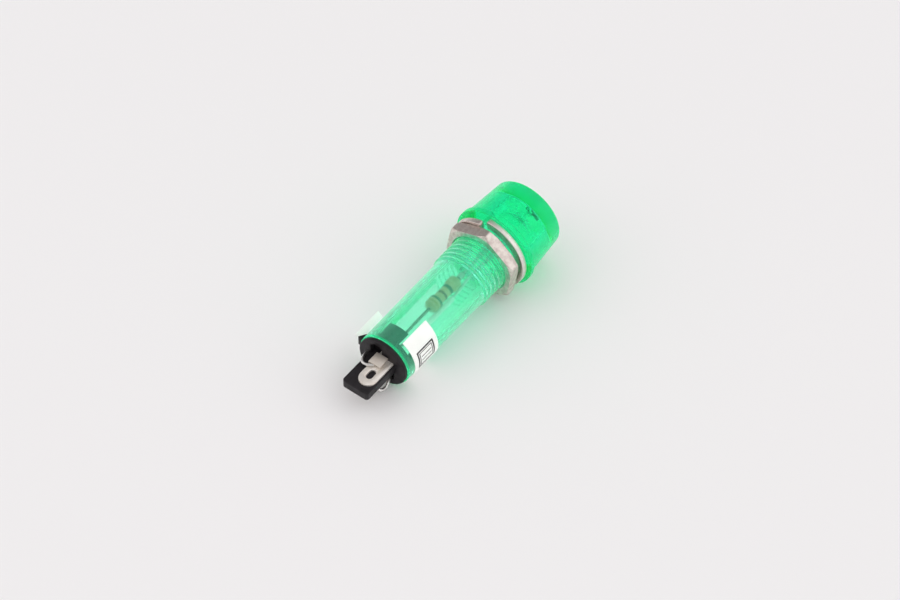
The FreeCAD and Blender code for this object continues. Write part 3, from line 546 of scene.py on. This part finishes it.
def clear_green_finish():
    """Clear dyed plastic: pale in the barrel, deep green in the head, hazy where it is seen aslant, with a
    painted glow that is strongest at the barrel's cut end.
    """
    finish, tree, shader, output = new_finish("clear_green")
    where, along, side, lift = object_place(tree)
    radius = (side * side + lift * lift).maths("SQRT")
    thick = radius.ramp(5.0 * MM, 6.0 * MM)
    inside = radius.ramp(4.4 * MM, 4.2 * MM)
    cut_edge = along.ramp((BARREL_END - 0.5) * MM, (BARREL_END - 0.35) * MM)
    slant = add_node(tree, "ShaderNodeLayerWeight", {"Blend": 0.5}, "Facing")
    shader.inputs["Transmission Weight"].default_value = 1.0
    shader.inputs["Specular Tint"].default_value = (0.2, 1.0, 0.6, 1)
    shader.inputs["IOR"].default_value = 1.5

    neck = along.ramp(10.2 * MM, 8.2 * MM, 0.0, 0.45)
    tint = blend_colour(tree, thick.maths("MAXIMUM", neck), (0.84, 1.0, 0.92), (0.22, 1.0, 0.76))
    # The tint turns near black in a few marks at the front end of the bore.
    dark_marks = bore_dark_marks(tree, where, along, side, lift, inside)
    plug_in(tree, blend_colour(tree, dark_marks, tint, (0.0, 0.02, 0.01)), shader.inputs["Base Color"])

    waves = add_node(tree, "ShaderNodeTexNoise", {"Vector": where, "Scale": 330.0, "Detail": 2.0})
    marks = add_node(tree, "ShaderNodeTexNoise", {"Vector": where, "Scale": 1500.0, "Detail": 3.0})
    rough_wall = inside * (along.ramp(-0.5 * MM, 0.5 * MM, 0.2, 0.09) + slant.ramp(0.2, 0.6, 0.0, 0.5))
    plug_in(tree, marks.ramp(0.35, 0.75, 0.02, 0.1) + rough_wall, shader.inputs["Roughness"])
    bump = add_node(tree, "ShaderNodeBump", {
        "Strength": 0.22, "Distance": 0.03 * MM, "Height": waves + marks * 0.12})
    plug_in(tree, bump, shader.inputs["Normal"])

    # Painted glow: a faint green emission over head and barrel, and a stronger one on the cut end of the
    # barrel, stands in for light gathered in the plastic.
    barrel = along.ramp(-1.0 * MM, 0.5 * MM) * along.ramp(23.0 * MM, 20.0 * MM, 0.3, 1.0)
    painted_glow = blend_colour(tree, barrel, (0.0, 0.035, 0.017), (0.014, 0.055, 0.036))
    plug_in(tree, blend_colour(tree, cut_edge, painted_glow, (0.0, 0.2, 0.07)), shader.inputs["Emission Color"])
    shader.inputs["Emission Strength"].default_value = 1.0

    dye = add_node(tree, "ShaderNodeVolumeAbsorption", {
        "Color": (0.025, 0.985, 0.8, 1), "Density": 410.0}, "Volume")
    plug_in(tree, dye, output.inputs["Volume"])
    haze = add_node(tree, "ShaderNodeBsdfDiffuse", {
        "Color": blend_colour(tree, thick.maths("MAXIMUM", cut_edge), (0.42, 1.0, 0.7), (0.02, 0.95, 0.4))})
    body = mixed_shader(tree, slant.ramp(0.15, 0.85, 0.035, 0.45), Wire(tree, shader.outputs[0]), haze)
    surface_with_light_shadow(tree, output, body, (0.98, 1.0, 0.99))
    return finish


def bore_dark_marks(tree, where, along, side, lift, inside):
    """A few dark marks at the front end of the bore, on one side."""
    from_middle = (lift.maths("ARCTAN2", side) * BORE_FRONT_RADIUS - 3.75).maths("ABSOLUTE")
    from_end = (along / MM + 6.4).maths("ABSOLUTE")
    mark_noise = add_node(tree, "ShaderNodeTexNoise", {"Vector": where, "Scale": 1700.0, "Detail": 1.0})
    dark_marks = mark_noise.ramp(0.42, 0.46) * from_middle.ramp(1.3, 1.0) * inside
    return dark_marks * from_end.ramp(0.6, 0.45)


def clear_glass_finish():
    """Clear glass with faint smears."""
    finish, tree, shader, output = new_finish("bulb_glass")
    shader.inputs["Base Color"].default_value = (0.97, 0.99, 0.98, 1)
    shader.inputs["Transmission Weight"].default_value = 1.0
    shader.inputs["IOR"].default_value = 1.1
    where = add_node(tree, "ShaderNodeTexCoord", output="Object")
    smears = add_node(tree, "ShaderNodeTexNoise", {"Vector": where, "Scale": 700.0, "Detail": 2.0})
    plug_in(tree, smears.ramp(0.4, 0.7, 0.0, 0.06), shader.inputs["Roughness"])
    surface_with_light_shadow(tree, output, Wire(tree, shader.outputs[0]), (0.93, 0.95, 0.94))
    return finish


def parts_of(finish):
    """A finish's tree, its main shader, its output, and the wire that brings its colour."""
    tree = finish.node_tree
    shader = next(node for node in tree.nodes if node.type == "BSDF_PRINCIPLED")
    output = next(node for node in tree.nodes if node.type == "OUTPUT_MATERIAL")
    return tree, shader, output, Wire(tree, shader.inputs["Base Color"].links[0].from_socket)


def paper_finish():
    """White label paper with a ruled box printed on it, which lets some light through from behind, and with
    a faint painted glow.
    """
    finish = opaque_finish("label_paper", (0.95, 0.94, 0.925), (0.91, 0.9, 0.885), 0.5, 0.7, patch=500.0,
                           grain=9000.0, relief=0.3, relief_depth=0.02)
    tree, front, output, white = parts_of(finish)
    where, along, side, lift = object_place(tree)
    from_rule = ((lift.maths("ARCTAN2", side) * LABEL_RADIUS) - 0.6).maths("ABSOLUTE")
    across = (along / MM - 23.2).maths("ABSOLUTE") - 1.8
    edge = across.maths("MAXIMUM", from_rule - 1.5)
    frame_line = edge.maths("ABSOLUTE").ramp(0.12, 0.17, 1.0, 0.0)
    thin_line = (edge + 0.38).maths("ABSOLUTE").ramp(0.055, 0.1, 1.0, 0.0)
    rules = (from_rule - 0.36).maths("ABSOLUTE").ramp(0.055, 0.1, 1.0, 0.0)
    rules = rules * (across + 0.6).ramp(0.0, -0.04)
    ink = frame_line.maths("MAXIMUM", thin_line).maths("MAXIMUM", rules)
    worn = add_node(tree, "ShaderNodeTexNoise", {"Vector": where, "Scale": 2600.0, "Detail": 2.0})
    sheet_colour = blend_colour(tree, ink * worn.ramp(0.25, 0.45, 0.7, 0.98), white, (0.03, 0.032, 0.035))
    plug_in(tree, sheet_colour, front.inputs["Base Color"])
    # Painted glow: the paper gives off faint light in its own colours, which lifts it where it lies in
    # shade.
    plug_in(tree, sheet_colour, front.inputs["Emission Color"])
    front.inputs["Emission Strength"].default_value = 0.23
    back_lit = add_node(tree, "ShaderNodeBsdfTranslucent", {"Color": sheet_colour})
    sheet = mixed_shader(tree, 0.28, Wire(tree, front.outputs[0]), back_lit)
    plug_in(tree, sheet, output.inputs["Surface"])
    return finish


def tag_finish():
    """Tinned strip, with painted shade over the folded lug, which is coloured darker."""
    finish = opaque_finish("tinned_brass", (1.0, 0.96, 0.9), (0.9, 0.83, 0.75), 0.42, 0.62, patch=700.0,
                           grain=5200.0, stretch=9.0, relief=0.45, relief_depth=0.02, Metallic=0.7)
    tree, front, _, bright = parts_of(finish)
    _, _, _, lift = object_place(tree)
    # Painted shade: the folded lug is coloured darker than the rest of the strip.
    painted_fold_shade = lift.maths("ABSOLUTE").ramp(1.35 * MM, 1.6 * MM, 0.0, 0.7)
    plug_in(tree, blend_colour(tree, painted_fold_shade, bright, (0.62, 0.55, 0.48)), front.inputs["Base Color"])
    return finish


def nickel_finish():
    """Dull nickel plate; the washer's outer rim carries a painted highlight, stronger towards +Y."""
    finish = opaque_finish("nickel_plate", (0.8, 0.73, 0.67), (0.62, 0.53, 0.49), 0.27, 0.5, patch=1300.0,
                           grain=5200.0, relief=0.5, relief_depth=0.03, Metallic=1.0)
    tree, front, _, dull = parts_of(finish)
    _, along, side, lift = object_place(tree)
    radius = (side.maths("POWER", 2.0) + lift.maths("POWER", 2.0)).maths("SQRT")
    # Painted highlight: the washer's outer rim is coloured brighter, more so on its +Y side.
    rim = along.ramp(1.96 * MM, 1.93 * MM) * radius.ramp(6.4 * MM, 6.55 * MM)
    painted_rim_highlight = rim * side.ramp(-1.0 * MM, 1.5 * MM, 0.1, 0.5)
    plug_in(tree, blend_colour(tree, painted_rim_highlight, dull, (1.0, 0.97, 0.93)), front.inputs["Base Color"])
    return finish


def wire_finish():
    """Bright tinned wire with painted shade inside: the return lead pale grey-green up to its bend, other
    leads and runs by the plug near black.
    """
    finish = opaque_finish("tinned_wire", (0.88, 0.87, 0.85), (0.66, 0.64, 0.61), 0.2, 0.4, patch=900.0,
                           grain=6000.0, stretch=6.0, relief=0.2, relief_depth=0.015, Metallic=1.0)
    tree, front, _, bright = parts_of(finish)
    _, along, side, lift = object_place(tree)
    # Painted shade: inside the barrel the wire is coloured pale grey-green on the return lead and near
    # black on the other leads and by the plug, a painted dark reflection of the plug.
    outside = (along + lift * 0.25).ramp(28.0 * MM, 28.4 * MM)
    dull = side.ramp(0.1 * MM, -0.3 * MM).maths("MAXIMUM", along.ramp(21.0 * MM, 23.0 * MM))
    painted_inside_colour = blend_colour(tree, dull, (0.6, 0.66, 0.6), (0.17, 0.17, 0.15))
    plug_in(tree, blend_colour(tree, outside, painted_inside_colour, bright), front.inputs["Base Color"])
    plug_in(tree, dull.ramp(0.0, 1.0, 0.2, 1.0), front.inputs["Metallic"])
    return finish


# The bands' slots keep the names of their first reading; the bands are olive, brown, olive and gold.
FINISH = {
    "green": clear_green_finish(),
    "glass": clear_glass_finish(),
    "nickel": nickel_finish(),
    "black": opaque_finish("black_plastic", (0.021, 0.018, 0.021), (0.013, 0.0115, 0.013), 0.36, 0.55,
                           patch=600.0, grain=6500.0, relief=0.3, relief_depth=0.03,
                           Specular_IOR_Level=0.22),
    "tag": tag_finish(),
    "wire": wire_finish(),
    "electrode": opaque_finish("electrode_nickel", (0.72, 0.72, 0.68), (0.6, 0.6, 0.56), 0.4, 0.6,
                               relief=0.2, Metallic=0.3),
    "ceramic": opaque_finish("white_ceramic", (0.85, 0.84, 0.8), (0.76, 0.75, 0.7), 0.5, 0.7),
    "steel": opaque_finish("cap_steel", (0.7, 0.68, 0.64), (0.55, 0.53, 0.5), 0.3, 0.5, Metallic=0.6),
    "lacquer": opaque_finish("tan_lacquer", (0.58, 0.37, 0.2), (0.46, 0.28, 0.14), 0.25, 0.4, patch=900.0,
                             relief=0.2, Coat_Weight=0.4),
    "band_wide": opaque_finish("band_blue", (0.035, 0.04, 0.02), (0.02, 0.025, 0.012), 0.3, 0.45),
    "band_dark": opaque_finish("band_brown", (0.16, 0.02, 0.008), (0.1, 0.014, 0.006), 0.3, 0.45),
    "band_pale": opaque_finish("band_green", (0.07, 0.08, 0.04), (0.05, 0.06, 0.03), 0.3, 0.45),
    "band_end": opaque_finish("band_gold", (0.42, 0.27, 0.08), (0.3, 0.18, 0.05), 0.3, 0.45, Metallic=0.5),
    "sleeve": opaque_finish("white_sleeve", (0.9, 0.9, 0.86), (0.82, 0.82, 0.76), 0.45, 0.65),
    "paper": paper_finish(),
}

TURNED = turned_tree()


# ---------------------------------------------------------------- the pieces

def make_moulding():
    """Head, flange, threaded neck and barrel in one, hollow from the rear."""
    corners = [
        (HEAD_FRONT, 0.0, 0), (HEAD_FRONT, HEAD_RADIUS, 0.55), (FLANGE_FRONT, HEAD_FOOT_RADIUS, 0.1),
        (FLANGE_FRONT, FLANGE_RADIUS, 0.28), (0.0, FLANGE_RADIUS, 0.15), (0.0, ROOT_RADIUS, 0.12),
        (9.18, ROOT_RADIUS, 0), (SHANK_FRONT, SHANK_RADIUS, 0), (14.0, SHANK_RADIUS, 0),
        (BARREL_END, TAIL_RADIUS, 0.12), (BARREL_END, BORE_REAR_RADIUS, 0.1),
        (BORE_FRONT, BORE_FRONT_RADIUS, 0.55), (BORE_FRONT, 0.0, 0)]

    def on_neck(before, after):
        along = (before.x, after.x)
        return min(along) > 0.1 and max(along) < SHANK_FRONT + 0.1 and min(before.y, after.y) > 4.6

    points = divided(rounded(corners), 0.075, on_neck)
    moulding = grown("green_moulding", points, moulding_tree(), FINISH["green"], 400)
    place_piece(moulding, "lamp", "lens_barrel")


def make_nut():
    """Thin hex nut: across its front, along its flats, across its rear, and back along its bore."""
    rows = 40
    thick = NUT_REAR - NUT_FRONT
    side = [(NUT_FRONT + thick * k / rows, 1.0) for k in range(rows + 1)]
    front = [(NUT_FRONT, share) for share in (0.0, 0.04, 0.12, 0.5, 0.88, 0.96)]
    rear = [(NUT_REAR, share) for _, share in reversed(front)]
    bore = [(NUT_REAR - thick * k / rows, 0.0) for k in range(1, rows + 1)]
    nut = grown("nickel_nut", front + side + rear + bore, nut_tree(), FINISH["nickel"], 420)
    place_piece(nut, "nut", "hex_nut")


def make_washer():
    """Split spring washer: its section starts and ends in the middle of its inner side."""
    seam = (0.5, WASHER_BORE, 0)
    loop = rounded([seam, (WASHER_REAR, WASHER_BORE, 0.1), (WASHER_REAR, WASHER_RADIUS, 0.12),
                    (WASHER_FRONT, WASHER_RADIUS, 0.12), (WASHER_FRONT, WASHER_BORE, 0.1), seam])
    washer = grown("spring_washer", loop, spring_tree(), FINISH["nickel"], 240)
    place_piece(washer, "washer", "lock_washer")


def make_plug():
    plug = refined_copy("rear_plug", "black_plug", FINISH["black"], bevel=0.13)
    place_piece(plug, "lamp", "rear_plug")


def make_tags():
    for node in ("terminal_upper", "terminal_lower"):
        tag = refined_copy(node, node + "_tag", FINISH["tag"], bevel=0.05)
        place_piece(tag, "lamp", node)


def make_leads():
    """The bent leads to the two tags, and the short straight ones at the crimped joint."""
    on_tag = TAG_FACE + WIRE_RADIUS + 0.01
    straight = (RESISTOR_SIDE, 0)
    upper = [(STEM_END, STEM_SIDE, 0), (7.6, STEM_SIDE, 0), (9.2, RETURN_SIDE, RETURN_LIFT),
             (22.0, RETURN_SIDE, RETURN_LIFT), (24.3, -2.05, -1.2), (25.9, -2.73, 0.73),
             (28.3, -2.73, 0.73), (28.7, -2.71, 0.78),
             (30.3, -2.2, on_tag), (30.97, -1.65, on_tag), (30.9, -0.75, on_tag), (30.0, 0.2, on_tag),
             (28.7, 0.25, on_tag)]
    lower = [(14.85, *straight), (22.6, *straight), (24.6, -0.2, -0.15), (25.9, 1.7, -2.15),
             (28.6, 1.7, -2.15), (30.3, 2.2, -2.75), (31.6, 2.0, -2.1), (31.4, 0.9, -on_tag),
             (30.4, -0.15, -on_tag), (28.7, -0.25, -on_tag)]
    front = [(JOINT_MIDDLE, *straight), (7.8, *straight), (8.4, *straight)]
    bulb = [(STEM_END, *straight), (6.8, *straight), (JOINT_MIDDLE, *straight)]
    for name, route, node in (
        ("return_wire", upper, "return_lead"),
        ("resistor_rear_wire", lower, "resistor_lead_rear"),
        ("resistor_front_wire", front, "resistor_lead_front"),
        ("bulb_wire", bulb, "bulb_lead"),
    ):
        place_piece(bent_wire(name, route, FINISH["wire"]), "lamp", node)


def make_turned(name, points, finish, node, side=0.0, lift=0.0):
    """A piece turned about an axis beside the lamp's own, fixed to the lamp."""
    piece = grown(name, points, TURNED, FINISH[finish], 64, Side=side * MM, Lift=lift * MM)
    place_piece(piece, "lamp", node)


def make_resistor():
    """The lacquered body with a bulge at each end, and the bands painted round it."""
    front, rear, full, waist = RESISTOR_FRONT, RESISTOR_REAR, RESISTOR_RADIUS, RESISTOR_WAIST
    coat = rounded([
        (front, WIRE_RADIUS, 0), (front + 0.1, 0.5, 0.1), (front + 0.35, full, 0.35),
        (front + 1.7, full, 0.3), (front + 2.15, waist, 0.25), (rear - 2.15, waist, 0.25),
        (rear - 1.7, full, 0.3), (rear - 0.35, full, 0.35), (rear - 0.1, 0.5, 0.1), (rear, WIRE_RADIUS, 0)])
    inner = [(rear - 0.3, 0.0), (front + 0.3, 0.0)]
    make_turned("resistor_body", [*coat, *inner, coat[0]], "lacquer", "resistor_coat",
                RESISTOR_SIDE)
    for key, slot, start, width, round_what in (
        ("wide", "band_blue", 2.25, 0.65, waist),
        ("dark", "band_brown", 3.75, 0.45, waist),
        ("pale", "band_green", 5.25, 0.45, full),
        ("end", "band_gold", 6.1, 0.3, full),
    ):
        low, high = front + start, front + start + width
        top = round_what + BAND_RISE
        ring = rounded([(low, top - 0.06, 0), (low, top, 0.02), (high, top, 0.02), (high, top - 0.06, 0)])
        make_turned("band_" + key + "_ring", [*ring, ring[0]], "band_" + key, "resistor_band_" + key,
                    RESISTOR_SIDE)


def make_sleeve():
    """The insulating sleeve on the return lead, as a tube."""
    seam = (SLEEVE_FRONT + 0.4, SLEEVE_BORE, 0)
    tube = rounded([seam, (SLEEVE_FRONT, SLEEVE_BORE, 0.05), (SLEEVE_FRONT, SLEEVE_RADIUS, 0.08),
                    (SLEEVE_REAR, SLEEVE_RADIUS, 0.08), (SLEEVE_REAR, SLEEVE_BORE, 0.05), seam])
    make_turned("lead_sleeve", tube, "sleeve", "return_lead_sleeve",
                RETURN_SIDE, RETURN_LIFT)


def make_joint():
    """The crimped ring that joins the bulb's lead to the resistor's."""
    seam = (JOINT_MIDDLE, WIRE_RADIUS, 0)
    ring = rounded([seam, (JOINT_FRONT, WIRE_RADIUS, 0), (JOINT_FRONT, JOINT_RADIUS, 0.1),
                    (JOINT_REAR, JOINT_RADIUS, 0.1), (JOINT_REAR, WIRE_RADIUS, 0), seam])
    make_turned("crimp_ring", ring, "steel", "crimped_joint", RESISTOR_SIDE)


def make_bulb():
    """The bulb's hollow glass, with the tip where it was sealed off, and its two electrodes."""
    wall = rounded([
        (BULB_TIP, 0.0, 0), (BULB_TIP, 0.3, 0.12), (BULB_FRONT, 0.5, 0.1), (BULB_FRONT, BULB_RADIUS, 2.2),
        (3.5, BULB_RADIUS, 0.8), (SEAL_FRONT, 1.3, 0.2), (SEAL_FRONT, 0.0, 0), (4.5, 0.0, 0),
        (3.4, BULB_BORE, 0.6), (-5.2, BULB_BORE, 1.8), (-5.2, 0.0, 0)], arc_steps=10)
    make_turned("bulb_tube", wall, "glass", "neon_bulb_glass")
    rod = rounded([(-3.4, 0.0, 0), (-3.4, 0.45, 0.2), (2.0, 0.45, 0.1), (2.0, 0.2, 0), (STEM_END, 0.2, 0),
                   (STEM_END, 0.0, 0)])
    for node, side in (("electrode_left", -STEM_SIDE), ("electrode_right", STEM_SIDE)):
        make_turned(node + "_rod", rod, "electrode", node, side)


def make_label():
    """Paper wrapped round the barrel; its free end stands off in a shallow curl."""
    start = math.radians(90 - LABEL_START)
    leave = math.radians(90 - LABEL_LEAVE)
    front = LABEL_FRONT + LABEL_MARGIN
    width = LABEL_REAR - LABEL_FRONT - 2 * LABEL_MARGIN
    curl = 0.1
    turn_steps, flap_steps, width_steps = 64, 12, 10
    mesh = bpy.data.meshes.new("paper_label")
    work = bmesh.new()
    rows = []
    for step in range(turn_steps + flap_steps + 1):
        if step <= turn_steps:
            angle = start + (leave - start) * step / turn_steps
            place = Vector((0, math.cos(angle), math.sin(angle))) * LABEL_RADIUS
        else:
            share = (step - turn_steps) / flap_steps
            ahead = Vector((0, math.sin(leave), -math.cos(leave)))
            outwards = Vector((0, math.cos(leave), math.sin(leave)))
            stand_off = LABEL_RADIUS + curl * math.sin(share * math.pi)
            place = outwards * stand_off + ahead * (LABEL_FREE_END * share)
        row = []
        for column in range(width_steps + 1):
            x = front + width * column / width_steps
            row.append(work.verts.new(Vector((x, place.y, place.z)) * MM))
        rows.append(row)
    for first, second in zip(rows, rows[1:]):
        for column in range(width_steps):
            work.faces.new((first[column], first[column + 1], second[column + 1], second[column]))
    bmesh.ops.recalc_face_normals(work, faces=work.faces)
    work.to_mesh(mesh)
    work.free()
    mesh.materials.append(FINISH["paper"])
    sheet = new_piece("paper_label_sheet", mesh)
    thick = sheet.modifiers.new("thickness", "SOLIDIFY")
    thick.thickness = LABEL_THICKNESS * MM
    thick.offset = 0.0
    piece = baked(sheet, "paper_label")
    for face in piece.data.polygons:
        face.use_smooth = True
    piece.data.set_sharp_from_angle(angle=math.radians(40))
    place_piece(piece, "lamp", "label")


def dress_kept_nodes():
    """Finishes for the CAD nodes that stay as they are."""
    for node, finish in (
        ("neon_bulb_seal", "glass"),
        ("resistor_rod", "ceramic"),
        ("resistor_cap_front", "steel"),
        ("resistor_cap_rear", "steel"),
    ):
        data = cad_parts[node].data
        data.materials.clear()
        data.materials.append(FINISH[finish])


# ---------------------------------------------------------------- studio

def make_camera():
    """The camera looks down on the lamp from behind its tags, at their right."""
    azimuth, elevation, roll = (math.radians(v) for v in (127.48, 51.577, -0.226))
    aim = Vector((12.375, 0.915, 0.0)) * MM
    distance = 826.8 * MM
    back = Vector((math.sin(azimuth) * math.cos(elevation), -math.cos(azimuth) * math.cos(elevation),
                   math.sin(elevation)))
    data = bpy.data.cameras.new("camera")
    data.sensor_width = 36.0
    data.lens = 215.4
    data.clip_end = 10.0
    data.clip_start = 0.01
    camera = bpy.data.objects.new("camera", data)
    bpy.context.scene.collection.objects.link(camera)
    camera.location = aim + back * distance
    look = (-back).to_track_quat("-Z", "Y").to_matrix().to_4x4()
    camera.matrix_world = Matrix.Translation(camera.location) @ look @ Matrix.Rotation(roll, 4, "Z")
    bpy.context.scene.camera = camera


def make_floor():
    """A pale floor under the lamp, which lies on its flange and on the end of its barrel."""
    slope = 0.0921
    gap = 0.005
    reach = 3000.0
    corners = [(x * reach, y * reach, slope * x * reach - FLANGE_RADIUS - gap)
               for x, y in ((-1, -1), (1, -1), (1, 1), (-1, 1))]
    mesh = bpy.data.meshes.new("studio_floor")
    mesh.from_pydata([Vector(c) * MM for c in corners], [], [(0, 1, 2, 3)])
    finish, _, shader, _ = new_finish("pale_floor")
    shader.inputs["Base Color"].default_value = (0.86, 0.85, 0.852, 1)
    shader.inputs["Roughness"].default_value = 0.9
    shader.inputs["Specular IOR Level"].default_value = 0.2
    mesh.materials.append(finish)
    new_piece("studio_floor", mesh)


def make_lamp(name, place, size, power):
    """A square soft lamp that faces the object, at a place in metres."""
    data = bpy.data.lights.new(name, "AREA")
    data.shape = "RECTANGLE"
    data.size = size
    data.size_y = size
    data.energy = power
    lamp = bpy.data.objects.new(name, data)
    bpy.context.scene.collection.objects.link(lamp)
    lamp.location = place
    lamp.rotation_mode = "QUATERNION"
    lamp.rotation_quaternion = (Vector((0.012, 0, 0)) - Vector(place)).to_track_quat("-Z", "Y")
    lamp.visible_camera = False


def make_light():
    """Soft lamps at the camera's right and left, and a pale surrounding that is darker at one side."""
    make_lamp("right_lamp", (-0.4, 0.68, 0.65), 1.05, 1.85)
    make_lamp("near_lamp", (0.55, -0.5, 0.7), 0.9, 1.55)
    white = (1.0, 0.985, 0.99, 1)
    dark_side = (-0.49, -0.81, 0.31)
    world = bpy.data.worlds.new("surround")
    bpy.context.scene.world = world
    world.use_nodes = True
    tree = world.node_tree
    tree.nodes.clear()
    output = tree.nodes.new("ShaderNodeOutputWorld")
    path = tree.nodes.new("ShaderNodeLightPath")
    around = add_node(tree, "ShaderNodeTexCoord", output="Generated")
    split = tree.nodes.new("ShaderNodeSeparateXYZ")
    plug_in(tree, around, split.inputs[0])
    towards_dark = tree.nodes.new("ShaderNodeVectorMath")
    towards_dark.operation = "DOT_PRODUCT"
    towards_dark.inputs[1].default_value = dark_side
    plug_in(tree, around, towards_dark.inputs[0])
    shade = Wire(tree, towards_dark.outputs["Value"]).ramp(0.6, 0.93, 1.0, 0.5)
    height = Wire(tree, split.outputs["Z"])
    mirrored = height.ramp(0.02, 0.3, 0.85, 0.58) * shade
    through = height.ramp(0.1, 0.6, 0.88, 0.74)
    sky = tree.nodes.new("ShaderNodeBackground")
    sky.inputs["Color"].default_value = white
    sky.inputs["Strength"].default_value = 0.84
    result = Wire(tree, sky.outputs[0])
    for ray, level in (
        ("Is Transmission Ray", through),
        ("Is Glossy Ray", mirrored),
        ("Is Camera Ray", 0.86),
    ):
        shown = add_node(tree, "ShaderNodeBackground", {"Color": white, "Strength": level})
        result = mixed_shader(tree, Wire(tree, path.outputs[ray]), result, shown)
    plug_in(tree, result, output.inputs["Surface"])


make_camera()
make_floor()
make_light()
make_moulding()
make_nut()
make_washer()
make_plug()
make_tags()
make_leads()
make_resistor()
make_sleeve()
make_joint()
make_bulb()
make_label()
dress_kept_nodes()
bpy.context.scene.view_settings.view_transform = "Standard"
